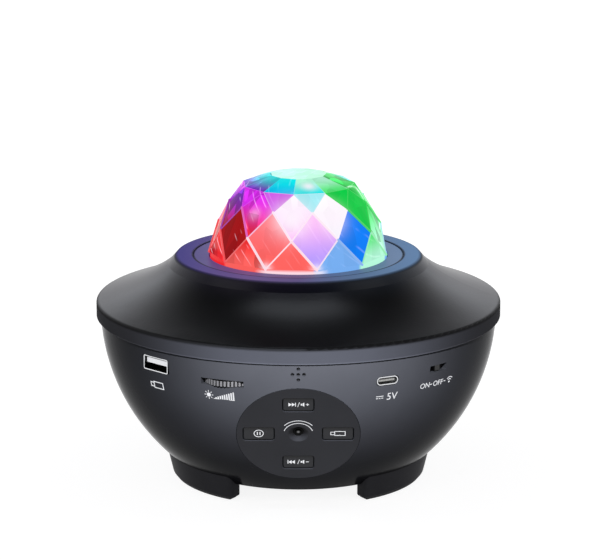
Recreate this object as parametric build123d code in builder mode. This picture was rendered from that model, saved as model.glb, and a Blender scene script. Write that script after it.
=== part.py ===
from build123d import *
import os
from math import atan2, cos, degrees, hypot, pi, radians, sin, sqrt, tan

# Star night light projector: a round desk lamp with a faceted crystal dome that throws moving
# ripples and stars, and a loudspeaker in its base. Millimetres, +Z up, origin on the floor in
# the middle of the three feet. The control panel faces -Y. Angles round the axis are counted
# from the front (-Y), positive towards +X.

os.makedirs("parts", exist_ok=True)

# ---------------------------------------------------------------- driving dimensions
# general
wall = 2.2                    # moulded shells
seat_gap = 0.2                # between two moulded parts that slip together
slide_gap = 0.3               # between a moving piece and the opening round it
running_gap = 0.05            # radial, shaft in bore
board_thickness = 1.6         # every printed circuit board
screw_radius = 1.15
screw_head_radius = 2.0
screw_head_height = 1.5

# outer bowl: part of a sphere, closed below by the base plate
rim_radius = 80.0
cover_overhang = 1.6          # cover skirt beyond the sphere
seam_height = 64.5
bowl_bottom_height = 6.3
bowl_bottom_radius = 47.85    # the bowl's lower edge
floor_flange_width = 9.0
floor_thickness = 2.0
lip_height = 3.0              # bowl lip that centres the cover

# top cover
skirt_height = 6.8
skirt_chamfer = 0.6
rim_rounding = 1.2
plateau_height = 88.7
plateau_radius = 48.2
plateau_rounding = 0.5
neck_run = 3.2                # short steep slope below the plateau
neck_drop = 3.6
neck_slope = 0.85             # fall per run where the flare starts
rim_slope = 0.33              # fall per run where the flare ends
flare_pulls = (7.0, 12.0)     # lengths of the flare's two handles, along the radius
ring_radius = 41.6            # outer edge of the ring round the dome
ledge_width = 2.8
ring_recess = 0.2
ring_rounding = 0.3

# crystal dome: rings of facet corners, radius and height above the plateau
dome_radius = 35.0
dome_wall = 2.0
dome_facets = 11
dome_turn = 11.7              # degrees from the front to a low corner
dome_height = 32.1
dome_low_corner = (35.3, 1.3)
dome_second_corner = (32.4, 12.0)
dome_third_height = 22.0
dome_fourth_height = 28.3
dome_top_radius = 11.0
dome_flange_thickness = 1.3

# base plate, feet and pads
plate_edge_margin = 3.35      # bowl's lower edge beyond the plate
plate_thickness = 2.4
plate_screw_inset = 4.6       # from the plate's edge
plate_recess = 1.3            # plate's underside below the bowl's lower edge
foot_count = 3
foot_span = 59.0              # degrees
foot_reach = 4.75             # feet beyond the bowl's lower edge
foot_width = 8.6
foot_taper = 2.4              # the foot's outer face leans in by this much
foot_rounding = 0.8
foot_end_rounding = 1.6
pad_thickness = 0.8
pad_margin = 0.9
grille_hole_radius = 1.2
grille_pitch = 4.2
grille_rings = 3

# towers that hold bowl and cover together
tower_inset = 5.4             # from the foot's outer face
tower_radius = 3.6
tower_below_seam = 4.5
tower_web = 4.0
cover_screw_length = 12.0

# control panel: a flat disc across the bowl's curve
panel_above_edge = 6.9        # panel's low edge above the bowl's lower edge
panel_below_mic = 1.6         # panel's high edge below the microphone's boss
panel_thickness = 2.5
panel_ledge = 1.4
panel_well_depth = 5.5
panel_well_wall = 1.1
panel_boss_circle = 17.0
panel_boss_radius = 2.2
button_size = (11.6, 6.6)
button_rounding = 1.0
button_circle = 15.0
button_recess = 0.35
button_travel = 0.5
button_flange = 0.6
button_flange_height = 0.9
board_depth = 8.0             # front of the button board behind the panel face
tact_size = 6.0
tact_height = 2.6
tact_plunger_radius = 1.5
tact_plunger_height = 0.5
dimple_radius = 3.9
dimple_throat = 2.0
dimple_depth = 1.6
window_radius = 1.25

# openings in the bowl, and the pieces behind them that stand on the main board
usb_a_angle = -44.5
usb_a_rise = 1.4              # shell's underside above the main board
usb_a_opening = (14.3, 5.9)
usb_a_size = (13.2, 5.6)
usb_a_depth = 14.0
usb_a_leg_front = 5.0         # behind the mouth
usb_a_leg_rear = 3.0          # from the shell's end
wheel_angle = -21.8
wheel_rise = 0.45             # wheel's underside above the main board
wheel_radius = 10.0
wheel_thickness = 2.0
wheel_proud = 1.2
wheel_notches = 44
wheel_notch_radius = 0.32
wheel_slot_width = 17.4
usb_c_angle = 25.8
usb_c_rise = 0.15
usb_c_opening = (9.6, 3.9)
usb_c_size = (8.9, 3.2)
usb_c_depth = 7.5
usb_c_leg_front = 4.6
switch_angle = 43.3
switch_rise = 0.9
switch_opening = (8.9, 2.8)
switch_nub = (2.6, 2.0)
switch_travel = 2.5           # each way from the middle position
switch_body_size = (12.4, 4.4, 4.2)
shell_sheet = 0.35            # folded sheet metal
shell_leg_run = 1.1           # a leg's length along the shell
mouth_inset = 0.35            # connector mouths behind the bowl's surface
mic_radius = 3.0
mic_depth = 2.4
mic_hole_radius = 0.7
mic_hole_pitch = 2.15
mic_boss_wall = 1.0

# main circuit board: a crescent behind the openings
main_board_below_seam = 10.5
main_board_width = 17.1
main_board_edge_gap = 1.4
main_board_span = 55.0        # degrees each side of the front
main_board_notch_depth = 12.1
main_board_notch_gap = 1.1    # round the panel's well
board_screw_inset = 3.8       # from the board's outer edge
board_screw_angles = (-52.0, -33.6, 34.3, 52.0)
board_boss_radius = 2.6
board_boss_height = 6.4
pot_radius = 4.2
pot_height = 4.0
wheel_shaft_radius = 1.6

# loudspeaker in the base
speaker_radius = 22.5
speaker_flange_width = 4.5
speaker_flange_thickness = 1.4
gasket_thickness = 0.8
surround_thickness = 0.4
surround_roll = 1.5
cone_radius = 15.0
cone_height = 6.0
cone_thickness = 0.6
coil_radius = 5.0
coil_thickness = 0.45
basket_height = 11.0
basket_wall = 1.0
magnet_radius = 12.5
magnet_height = 9.0
magnet_gap = 0.3
speaker_screw_count = 4

# light engine under the dome
chassis_radius = 35.0
chassis_wall = 2.0
chassis_flange_thickness = 2.9
wing_thickness = 2.0
wing_width = 10.0
wing_reach = 8.0
deck_below_dome = 11.0
deck_thickness = 2.0
cup_depth = 12.4              # lamp board below the deck's top
column_circle = 29.4
column_radius = 2.7
column_angles = (-90.0, 30.0, 135.0)
led_board_radius = 34.5
heat_sink_radius = 31.0
heat_sink_base = 3.0
fin_height = 8.0
fin_thickness = 1.4
fin_pitch = 5.2
fin_inset = 0.5
led_circle = 12.0
led_count = 4
led_size = 3.6
led_height = 1.2
lens_top_radius = 5.2
lens_bottom_radius = 3.6
lens_gap_below_deck = 0.5
lens_cavity_radius = 2.7
lens_cavity_height = 2.0

# gear train on the deck
gear_module = 0.8
ripple_teeth = 50
grating_teeth = 22
pinion_teeth = 12
tooth_fill = 0.40             # tooth width at the pitch circle, part of the pitch
tooth_addendum = 0.8          # of the module
tooth_dedendum = 1.15         # of the module
gear_width = 3.0
deck_clearance = 0.3
ripple_centre = (-9.0, 0.0)
ripple_pin_radius = 1.5
ripple_hub_radius = 3.2
ripple_hub_extra = 0.8
ripple_web = 1.4
ripple_rim = 2.2
retainer_radius = 2.8
retainer_height = 1.2
sleeve_outer_radius = 5.5
sleeve_wall = 0.9
sleeve_depth = 3.0            # below the deck's top
grating_thickness = 0.8
collar_wall = 1.6
collar_depth = 10.0
laser_radius = 4.2
laser_tip_radius = 3.4
laser_length = 15.0
motor_radius = 6.0
motor_height = 14.0
motor_shaft_radius = 1.0
motor_shaft_grip = 8.0        # shaft length inside the motor

# internal leads: round jackets between soldered ends
panel_lead_radius = 0.9
panel_lead_bow = 4.5          # behind the button board
panel_solder_spot = (5.0, 8.0)   # on the back of the button board
lamp_lead_radius = 1.1
lamp_lead_sag = 8.0           # below both boards that it joins
speaker_lead_radius = 0.8
lead_slack = 0.45             # part of the shorter run that an arc may use

# ---------------------------------------------------------------- worked-out sizes
bowl_radius = rim_radius - cover_overhang
bowl_centre_height = bowl_bottom_height + sqrt(bowl_radius**2 - bowl_bottom_radius**2)
skirt_inner_radius = rim_radius - wall
rim_height = seam_height + skirt_height
plate_radius = bowl_bottom_radius - plate_edge_margin
foot_outer_radius = bowl_bottom_radius + foot_reach
foot_inner_radius = foot_outer_radius - foot_width
tower_circle = foot_outer_radius - tower_inset
tower_top_height = seam_height - tower_below_seam
plate_bottom_height = bowl_bottom_height - plate_recess
plate_top_height = plate_bottom_height + plate_thickness
foot_bottom_height = pad_thickness
ledge_top_height = plateau_height - wall - seat_gap
ledge_inner_radius = ring_radius - ledge_width
dome_flange_radius = ledge_inner_radius - 3 * seat_gap
dome_flange_bottom = ledge_top_height - dome_flange_thickness
main_board_top = seam_height - main_board_below_seam
main_board_bottom = main_board_top - board_thickness
mic_boss_radius = mic_radius + seat_gap / 2 + mic_boss_wall
mic_height = seam_height - mic_boss_radius
panel_high_height = mic_height - mic_boss_radius - panel_below_mic
panel_low_height = bowl_bottom_height + panel_above_edge
usb_a_height = main_board_top + usb_a_rise + usb_a_size[1] / 2
wheel_height = main_board_top + wheel_rise + wheel_thickness / 2
usb_c_height = main_board_top + usb_c_rise + usb_c_size[1] / 2
switch_height = main_board_top + switch_rise + switch_body_size[1] / 2
deck_height = dome_flange_bottom - deck_below_dome
deck_bottom = deck_height - deck_thickness
cup_bottom_height = deck_height - cup_depth
ripple_radius = gear_module * ripple_teeth / 2
grating_radius = gear_module * grating_teeth / 2
pinion_radius = gear_module * pinion_teeth / 2
grating_centre = (ripple_centre[0] + ripple_radius + grating_radius, ripple_centre[1])
pinion_centre = (ripple_centre[0], ripple_centre[1] + ripple_radius + pinion_radius)
gear_bottom = deck_height + deck_clearance
foot_angles = [360 / foot_count * (i + 0.5) for i in range(foot_count)]
plate_screw_angles = [360 / foot_count * i for i in range(foot_count)]
plate_screw_circle = plate_radius - plate_screw_inset
floor_top_height = plate_top_height + floor_thickness


def bowl_radius_at(height, inset=0.0):
    """Radius of the bowl's sphere, moved inwards by inset, at one height."""
    return sqrt((bowl_radius - inset) ** 2 - (height - bowl_centre_height) ** 2)


def around(angle, radius):
    """X and Y of a point at an angle from the front."""
    return (radius * sin(radians(angle)), -radius * cos(radians(angle)))


def outward_plane(angle, radius, height):
    """Plane that faces away from the axis, with its own X to the right and Y up."""
    x, y = around(angle, radius)
    return Plane(
        origin=(x, y, height),
        x_dir=(cos(radians(angle)), sin(radians(angle)), 0),
        z_dir=(sin(radians(angle)), -cos(radians(angle)), 0),
    )


# The panel's plane is the chord of the bowl's curve between its low and high edges.
panel_low_radius = bowl_radius_at(panel_low_height)
panel_high_radius = bowl_radius_at(panel_high_height)
panel_rise = panel_high_height - panel_low_height
panel_lean = panel_high_radius - panel_low_radius
panel_radius = hypot(panel_rise, panel_lean) / 2
panel_tilt = atan2(panel_lean, panel_rise)
panel_centre = (
    0,
    -(panel_low_radius + panel_high_radius) / 2,
    (panel_low_height + panel_high_height) / 2,
)
panel_normal = (0, -cos(panel_tilt), -sin(panel_tilt))


def panel_plane(depth):
    """Plane parallel to the panel's face, this far behind it, facing outwards."""
    face = Plane(origin=panel_centre, x_dir=(1, 0, 0), z_dir=panel_normal)
    return face.offset(-depth)


# The main board follows the bowl's wall, and its notch clears the panel's well at that height.
board_outer_radius = bowl_radius_at(main_board_bottom, wall) - main_board_edge_gap
main_board_inner_radius = board_outer_radius - main_board_width
board_screw_circle = board_outer_radius - board_screw_inset
well_radius = panel_radius + seat_gap + panel_well_wall
notch_height = main_board_bottom - panel_centre[2] - panel_well_depth * sin(panel_tilt)
notch_rise = notch_height / cos(panel_tilt)
notch_width = 2 * sqrt((well_radius + main_board_notch_gap) ** 2 - notch_rise**2)


# ---------------------------------------------------------------- shapes used by many pieces
front_bearing = 90            # degrees from +X clockwise to the front


def ring(inner, outer, low, high, centre=(0, 0), mode=Mode.ADD):
    """Upright ring, or disc when inner is 0, in the part that is being built."""
    with BuildSketch(Plane.XY.offset(low)) as outline:
        with Locations(centre):
            Circle(outer)
            if inner > 0:
                Circle(inner, mode=Mode.SUBTRACT)
    extrude(outline.sketch, amount=high - low, mode=mode)


def posts(angles, circle, radius, low, high, mode=Mode.ADD):
    """Upright round posts at angles from the front."""
    with BuildSketch(Plane.XY.offset(low)) as outline:
        with Locations(*[around(angle, circle) for angle in angles]):
            Circle(radius)
    extrude(outline.sketch, amount=high - low, mode=mode)


def sector(inner, outer, angle, span, low, high):
    """Upright block between two radii and two angles."""
    start = angle - span / 2 - front_bearing
    with BuildSketch(Plane.XY.offset(low)) as outline:
        with BuildLine():
            outer_arc = CenterArc((0, 0), outer, start, span)
            inner_arc = CenterArc((0, 0), inner, start, span)
            Line(outer_arc @ 0, inner_arc @ 0)
            Line(outer_arc @ 1, inner_arc @ 1)
        make_face()
    extrude(outline.sketch, amount=high - low)


def block(centre, size, low, high, angle=0, mode=Mode.ADD):
    """Upright box, its sides turned by an angle."""
    with BuildSketch(Plane.XY.offset(low)) as outline:
        with Locations(centre):
            Rectangle(size[0], size[1], rotation=angle)
    extrude(outline.sketch, amount=high - low, mode=mode)


def screws(angles, circle, head_bottom, length):
    """Screws that point up, one at each angle: head, shank and cross recess."""
    head_top = head_bottom + screw_head_height
    posts(angles, circle, screw_head_radius, head_bottom, head_top)
    posts(angles, circle, screw_radius, head_top, head_top + length)
    recess = screw_head_radius
    for angle in angles:
        for turn in (0, 90):
            size = (recess * 1.2, recess * 0.3)
            depth = screw_head_height / 2
            block(around(angle, circle), size, head_bottom, head_bottom + depth, turn, Mode.SUBTRACT)


def bowl_body(inset):
    """The bowl's sphere below the seam as one solid, moved inwards by inset."""
    with BuildPart() as body:
        with BuildSketch(Plane.XZ):
            with Locations((0, bowl_centre_height)):
                Circle(bowl_radius - inset)
            with Locations((0, bowl_bottom_height)):
                Rectangle(
                    rim_radius,
                    seam_height - bowl_bottom_height,
                    align=(Align.MIN, Align.MIN),
                    mode=Mode.INTERSECT,
                )
        revolve(axis=Axis.Z)
    return body.part


# ---------------------------------------------------------------- lower bowl
# Everything that stands on the inside of the bowl's wall, trimmed inside the wall's thickness.
tower_bore = screw_head_radius + 2 * seat_gap
board_boss_low = main_board_bottom - board_boss_height
with BuildPart() as bowl_inside:
    with BuildSketch(panel_plane(panel_well_depth)):
        Circle(well_radius)
    extrude(amount=panel_well_depth + wall)
    posts(foot_angles, tower_circle, tower_radius, plate_top_height, tower_top_height)
    posts(
        plate_screw_angles,
        plate_screw_circle,
        screw_head_radius + seat_gap,
        plate_top_height,
        floor_top_height + 2 * floor_thickness,
    )
    posts(board_screw_angles, board_screw_circle, board_boss_radius, board_boss_low, main_board_bottom)
    for angle in board_screw_angles:
        reach = rim_radius - board_screw_circle
        web_centre = around(angle, board_screw_circle + reach / 2)
        block(web_centre, (wall, reach), board_boss_low, main_board_bottom, angle)
    mic_seat = bowl_radius_at(mic_height, wall)
    with BuildSketch(outward_plane(0, mic_seat - mic_depth, mic_height)):
        Circle(mic_boss_radius)
    extrude(amount=mic_depth + wall)
    add(bowl_body(wall / 2), mode=Mode.INTERSECT)


def wall_plane(angle, height):
    """Plane just outside the bowl's wall, facing outwards."""
    return outward_plane(angle, bowl_radius_at(height) + wall / 2, height)


wall_cut = 2.5 * wall
with BuildPart() as lower_bowl:
    with BuildSketch(Plane.XZ):
        with Locations((0, bowl_centre_height)):
            Circle(bowl_radius)
            Circle(bowl_radius - wall, mode=Mode.SUBTRACT)
        with Locations((plate_radius - floor_flange_width, plate_top_height)):
            Rectangle(2 * floor_flange_width, floor_thickness, align=(Align.MIN, Align.MIN))
        with Locations((0, bowl_centre_height)):
            Circle(bowl_radius, mode=Mode.INTERSECT)
        with Locations((0, bowl_bottom_height)):
            Rectangle(
                rim_radius,
                seam_height - bowl_bottom_height,
                align=(Align.MIN, Align.MIN),
                mode=Mode.INTERSECT,
            )
            Rectangle(
                plate_radius + seat_gap,
                plate_top_height - bowl_bottom_height,
                align=(Align.MIN, Align.MIN),
                mode=Mode.SUBTRACT,
            )
        lip_inner = bowl_radius_at(seam_height, wall)
        with Locations((lip_inner, seam_height - lip_height / 2)):
            lip_width = skirt_inner_radius - seat_gap - lip_inner
            Rectangle(lip_width, 1.5 * lip_height, align=(Align.MIN, Align.MIN))
    revolve(axis=Axis.Z)
    add(bowl_inside.part)
    # panel: pocket, and the way through to the buttons
    with BuildSketch(panel_plane(panel_thickness)):
        Circle(panel_radius + seat_gap)
    extrude(amount=panel_thickness + 2 * wall, mode=Mode.SUBTRACT)
    with BuildSketch(panel_plane(panel_well_depth + wall)):
        Circle(panel_radius - panel_ledge)
    extrude(amount=panel_well_depth + 2 * wall, mode=Mode.SUBTRACT)
    # towers: driver access from below, web at the top
    posts(foot_angles, tower_circle, tower_bore, 0, tower_top_height - tower_web, Mode.SUBTRACT)
    posts(foot_angles, tower_circle, screw_radius + seat_gap, 0, tower_top_height, Mode.SUBTRACT)
    # holes for the screws of the base plate and of the main board
    plate_pilot_top = floor_top_height + 1.5 * floor_thickness
    posts(plate_screw_angles, plate_screw_circle, screw_radius, 0, plate_pilot_top, Mode.SUBTRACT)
    posts(
        board_screw_angles,
        board_screw_circle,
        screw_radius,
        board_boss_low + wall / 2,
        main_board_bottom,
        Mode.SUBTRACT,
    )
    # openings in the wall
    with BuildSketch(wall_plane(usb_a_angle, usb_a_height)):
        RectangleRounded(usb_a_opening[0], usb_a_opening[1], 0.5)
    extrude(amount=-wall_cut, mode=Mode.SUBTRACT)
    with BuildSketch(wall_plane(wheel_angle, wheel_height)):
        Rectangle(wheel_slot_width, wheel_thickness + 2 * slide_gap)
    extrude(amount=-wall_cut, mode=Mode.SUBTRACT)
    with BuildSketch(wall_plane(usb_c_angle, usb_c_height)):
        SlotOverall(usb_c_opening[0], usb_c_opening[1])
    extrude(amount=-wall_cut, mode=Mode.SUBTRACT)
    with BuildSketch(wall_plane(switch_angle, switch_height)):
        RectangleRounded(switch_opening[0], switch_opening[1], 0.4)
    extrude(amount=-wall_cut, mode=Mode.SUBTRACT)
    with BuildSketch(wall_plane(0, mic_height)):
        Circle(mic_hole_radius)
        with PolarLocations(mic_hole_pitch, 4):
            Circle(mic_hole_radius)
    extrude(amount=-wall_cut, mode=Mode.SUBTRACT)
    with BuildSketch(outward_plane(0, mic_seat, mic_height)):
        Circle(mic_radius + seat_gap / 2)
    extrude(amount=-2 * mic_depth, mode=Mode.SUBTRACT)
lower_bowl.part.label = "lower_bowl"
export_step(lower_bowl.part, "parts/lower_bowl.step")

# ---------------------------------------------------------------- base plate with its feet
def bowl_height_at(radius):
    """Height at which the bowl's sphere has one radius, below its widest place."""
    return bowl_centre_height - sqrt(bowl_radius**2 - radius**2)


foot_top_height = bowl_height_at(foot_outer_radius) + wall / 5
foot_start = around(-foot_span / 2, 1)
with BuildPart() as foot:
    foot_plane = Plane(
        origin=(0, 0, 0),
        x_dir=(foot_start[0], foot_start[1], 0),
        z_dir=(foot_start[1], -foot_start[0], 0),
    )
    with BuildSketch(foot_plane):
        with BuildLine():
            Polyline(
                (foot_inner_radius, foot_bottom_height),
                (foot_outer_radius - foot_taper, foot_bottom_height),
                (foot_outer_radius, foot_top_height),
                (foot_inner_radius, foot_top_height),
                close=True,
            )
        make_face()
    revolve(axis=Axis.Z, revolution_arc=foot_span)
    uprights = foot.edges().filter_by(
        lambda edge: edge.bounding_box().size.Z > (foot_top_height - foot_bottom_height) / 2
    )
    fillet(uprights, foot_end_rounding)
    fillet(foot.edges().group_by(Axis.Z)[0], foot_rounding)
    add(bowl_body(0), mode=Mode.SUBTRACT)

speaker_seat = plate_top_height + gasket_thickness + surround_thickness
speaker_flange_top = speaker_seat + speaker_flange_thickness
speaker_screw_circle = speaker_radius + screw_head_radius + 2 * seat_gap
speaker_screw_angles = [360 / speaker_screw_count * (i + 0.5) for i in range(speaker_screw_count)]
with BuildPart() as base_plate:
    ring(0, plate_radius, plate_bottom_height, plate_top_height)
    for angle in foot_angles:
        add(foot.part.rotate(Axis.Z, angle))
        sector(
            foot_inner_radius - wall,
            foot_inner_radius + wall,
            angle,
            foot_span - degrees(2 * foot_end_rounding / foot_inner_radius),
            plate_bottom_height,
            bowl_bottom_height,
        )
    posts(
        speaker_screw_angles,
        speaker_screw_circle,
        screw_head_radius,
        plate_top_height,
        speaker_flange_top,
    )
    posts(
        speaker_screw_angles,
        speaker_screw_circle,
        screw_radius,
        plate_top_height,
        speaker_flange_top,
        Mode.SUBTRACT,
    )
    # sound outlet: a centre hole with rings of holes round it
    with BuildSketch(Plane.XY.offset(plate_bottom_height)):
        Circle(grille_hole_radius)
        for row in range(1, grille_rings + 1):
            with PolarLocations(grille_pitch * row, 6 * row):
                Circle(grille_hole_radius)
    extrude(amount=plate_thickness, mode=Mode.SUBTRACT)
    posts(
        plate_screw_angles,
        plate_screw_circle,
        screw_head_radius + seat_gap,
        plate_bottom_height,
        plate_bottom_height + screw_head_height,
        Mode.SUBTRACT,
    )
    posts(
        plate_screw_angles,
        plate_screw_circle,
        screw_radius + seat_gap,
        plate_bottom_height,
        plate_top_height,
        Mode.SUBTRACT,
    )
    posts(foot_angles, tower_circle, tower_bore, 0, bowl_height_at(foot_outer_radius), Mode.SUBTRACT)
base_plate.part.label = "base_plate"
export_step(base_plate.part, "parts/base_plate.step")

with BuildPart() as foot_pads:
    for angle in foot_angles:
        sector(
            foot_inner_radius + pad_margin,
            foot_outer_radius - foot_taper - pad_margin,
            angle,
            foot_span - degrees(2 * foot_end_rounding / foot_inner_radius),
            0,
            pad_thickness,
        )
foot_pads.part.label = "foot_pads"
export_step(foot_pads.part, "parts/foot_pads.step")

with BuildPart() as base_screws:
    base_screw_length = plate_pilot_top - plate_bottom_height - screw_head_height
    screws(plate_screw_angles, plate_screw_circle, plate_bottom_height, base_screw_length)
base_screws.part.label = "base_screws"
export_step(base_screws.part, "parts/base_screws.step")

with BuildPart() as cover_screws:
    cover_head_bottom = tower_top_height - tower_web - screw_head_height
    screws(foot_angles, tower_circle, cover_head_bottom, cover_screw_length)
cover_screws.part.label = "cover_screws"
export_step(cover_screws.part, "parts/cover_screws.step")

# ---------------------------------------------------------------- loudspeaker
with BuildPart() as speaker_gasket:
    gasket_top = plate_top_height + gasket_thickness
    ring(speaker_radius - speaker_flange_width, speaker_radius, plate_top_height, gasket_top)
speaker_gasket.part.label = "speaker_gasket"
export_step(speaker_gasket.part, "parts/speaker_gasket.step")

roll_centre = cone_radius + slide_gap + surround_roll
with BuildPart() as speaker_surround:
    with BuildSketch(Plane.XZ):
        with Locations((roll_centre, gasket_top)):
            Circle(surround_roll)
            Circle(surround_roll - surround_thickness, mode=Mode.SUBTRACT)
            Rectangle(
                2 * surround_roll,
                surround_roll,
                align=(Align.CENTER, Align.MAX),
                mode=Mode.SUBTRACT,
            )
        lip_start = roll_centre + surround_roll - surround_thickness
        with Locations((lip_start, gasket_top)):
            Rectangle(
                speaker_radius - lip_start, surround_thickness, align=(Align.MIN, Align.MIN)
            )
    revolve(axis=Axis.Z)
speaker_surround.part.label = "speaker_surround"
export_step(speaker_surround.part, "parts/speaker_surround.step")

basket_top = speaker_seat + basket_height
coil_outer = coil_radius + coil_thickness
coil_space = coil_outer + magnet_gap
flange_inner = roll_centre + surround_roll + slide_gap
with BuildPart() as speaker_basket:
    ring(flange_inner, speaker_radius, speaker_seat, speaker_flange_top)
    with BuildSketch(Plane.XZ):
        with BuildLine():
            Polyline(
                (flange_inner, speaker_flange_top - basket_wall / 2),
                (flange_inner + basket_wall, speaker_flange_top - basket_wall / 2),
                (magnet_radius + basket_wall, basket_top),
                (coil_space, basket_top),
                (coil_space, basket_top - basket_wall),
                (magnet_radius, basket_top - basket_wall),
                close=True,
            )
        make_face()
    revolve(axis=Axis.Z)
    # sound windows between the basket's arms
    for angle in speaker_screw_angles:
        with BuildSketch(outward_plane(angle, magnet_radius / 2, speaker_flange_top)):
            with Locations((0, basket_height * 0.4)):
                Rectangle(magnet_radius, basket_height * 0.4)
        extrude(amount=speaker_radius, mode=Mode.SUBTRACT)
speaker_basket.part.label = "speaker_basket"
export_step(speaker_basket.part, "parts/speaker_basket.step")

with BuildPart() as speaker_magnet:
    magnet_top = basket_top + magnet_height
    ring(0, magnet_radius, basket_top, magnet_top)
    coil_groove_top = magnet_top - magnet_height / 4
    ring(coil_radius - magnet_gap, coil_space, basket_top, coil_groove_top, mode=Mode.SUBTRACT)
speaker_magnet.part.label = "speaker_magnet"
export_step(speaker_magnet.part, "parts/speaker_magnet.step")

with BuildPart() as speaker_cone:
    cone_low = gasket_top
    cone_top = cone_low + cone_height
    with BuildSketch(Plane.XZ):
        with BuildLine():
            Polyline(
                (cone_radius, cone_low),
                (cone_radius, cone_low + cone_thickness),
                (coil_outer, cone_top + cone_thickness),
                (0, cone_top + cone_thickness),
                (0, cone_top),
                (coil_outer, cone_top),
                close=True,
            )
        make_face()
    revolve(axis=Axis.Z)
    coil_top = coil_groove_top - 2 * surround_roll
    ring(coil_radius, coil_outer, cone_top, coil_top)
speaker_cone.part.label = "speaker_cone"
export_step(speaker_cone.part, "parts/speaker_cone.step")

with BuildPart() as speaker_screws:
    clamp_radius = screw_head_radius + 3 * wall / 4
    washer_top = speaker_flange_top + surround_thickness
    head_top = washer_top + screw_head_height
    posts(speaker_screw_angles, speaker_screw_circle, clamp_radius, speaker_flange_top, washer_top)
    posts(speaker_screw_angles, speaker_screw_circle, screw_head_radius, washer_top, head_top)
    posts(
        speaker_screw_angles,
        speaker_screw_circle,
        screw_radius,
        plate_top_height,
        speaker_flange_top,
    )
speaker_screws.part.label = "speaker_screws"
export_step(speaker_screws.part, "parts/speaker_screws.step")

# ---------------------------------------------------------------- top cover and ring
neck = (plateau_radius + neck_run, plateau_height - neck_drop)
rim_edge = (rim_radius, rim_height - rim_slope)
with BuildSketch() as cover_profile:
    with BuildLine():
        Line((0, seam_height), (0, plateau_height))
        Line((0, plateau_height), (plateau_radius, plateau_height))
        Line((plateau_radius, plateau_height), neck)
        Bezier(
            neck,
            (neck[0] + flare_pulls[0], neck[1] - flare_pulls[0] * neck_slope),
            (rim_edge[0] - flare_pulls[1], rim_edge[1] + flare_pulls[1] * rim_slope),
            rim_edge,
        )
        Polyline(
            rim_edge,
            (rim_radius, seam_height + skirt_chamfer),
            (rim_radius - skirt_chamfer, seam_height),
            (0, seam_height),
        )
    make_face()
    corners = cover_profile.vertices()
    fillet(corners.sort_by_distance((plateau_radius, plateau_height))[0], plateau_rounding)
    fillet(cover_profile.vertices().sort_by_distance(rim_edge)[0], rim_rounding)

cover_post_radius = tower_radius - 2 * seat_gap
wing_screw_circle = ring_radius + wall - seat_gap
ledge_bottom_height = ledge_top_height - wall
with BuildPart() as top_cover:
    with BuildSketch(Plane.XZ):
        add(cover_profile.sketch_local)
        with Locations((-wall, -wall)):
            add(cover_profile.sketch_local, mode=Mode.SUBTRACT)
        with Locations((ledge_inner_radius, ledge_bottom_height)):
            ledge_height = plateau_height - wall / 2 - ledge_bottom_height
            Rectangle(ledge_width + wall, ledge_height, align=(Align.MIN, Align.MIN))
        with Locations((0, ledge_top_height)):
            Rectangle(ring_radius, 2 * wall, align=(Align.MIN, Align.MIN), mode=Mode.SUBTRACT)
        with Locations((0, seam_height)):
            Rectangle(
                ledge_inner_radius,
                plateau_height - seam_height,
                align=(Align.MIN, Align.MIN),
                mode=Mode.SUBTRACT,
            )
    revolve(axis=Axis.Z)
    posts(foot_angles, tower_circle, cover_post_radius, tower_top_height, neck[1])
    posts(
        foot_angles,
        tower_circle,
        screw_radius,
        tower_top_height,
        tower_top_height + cover_screw_length,
        Mode.SUBTRACT,
    )
    wing_post_top = plateau_height - wall / 2
    posts(
        plate_screw_angles,
        wing_screw_circle,
        screw_radius + wall / 2,
        ledge_bottom_height,
        wing_post_top,
    )
    posts(
        plate_screw_angles,
        wing_screw_circle,
        screw_radius,
        ledge_bottom_height,
        wing_post_top,
        Mode.SUBTRACT,
    )
    # the sunk seat of the ring stays free
    ring(0, ring_radius, ledge_top_height, plateau_height, mode=Mode.SUBTRACT)
top_cover.part.label = "top_cover"
export_step(top_cover.part, "parts/top_cover.step")

with BuildPart() as dome_ring:
    ring(
        dome_radius + slide_gap,
        ring_radius - seat_gap,
        ledge_top_height,
        plateau_height - ring_recess,
    )
    fillet(dome_ring.edges().group_by(Axis.Z)[-1], ring_rounding)
dome_ring.part.label = "dome_ring"
export_step(dome_ring.part, "parts/dome_ring.step")


# ---------------------------------------------------------------- crystal dome
def kite_tip(low, side, tip_height):
    """Radius of a flat kite's upper tip, from its low corner and its two side corners."""
    side_middle = side[0] * cos(pi / dome_facets)
    share = (tip_height - low[1]) / (side[1] - low[1])
    return low[0] - (low[0] - side_middle) * share


third_corner = (kite_tip(dome_low_corner, dome_second_corner, dome_third_height), dome_third_height)
fourth_corner = (kite_tip(dome_second_corner, third_corner, dome_fourth_height), dome_fourth_height)
top_corner = (dome_top_radius, dome_height)


def dome_corner(corner, step):
    """Facet corner on one ring, counted in steps of one facet round the dome."""
    x, y = around(dome_turn + step * 360 / dome_facets, corner[0])
    return Vector(x, y, plateau_height + corner[1])


def facet_plane(first, second, third, inset):
    """Plane through three corners, facing outwards, moved inwards by inset."""
    normal = (second - first).cross(third - first).normalized()
    middle = Vector(0, 0, plateau_height)
    if normal.dot(first - middle) < 0:
        normal = -normal
    return Plane(origin=first - normal * inset, z_dir=normal)


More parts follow.
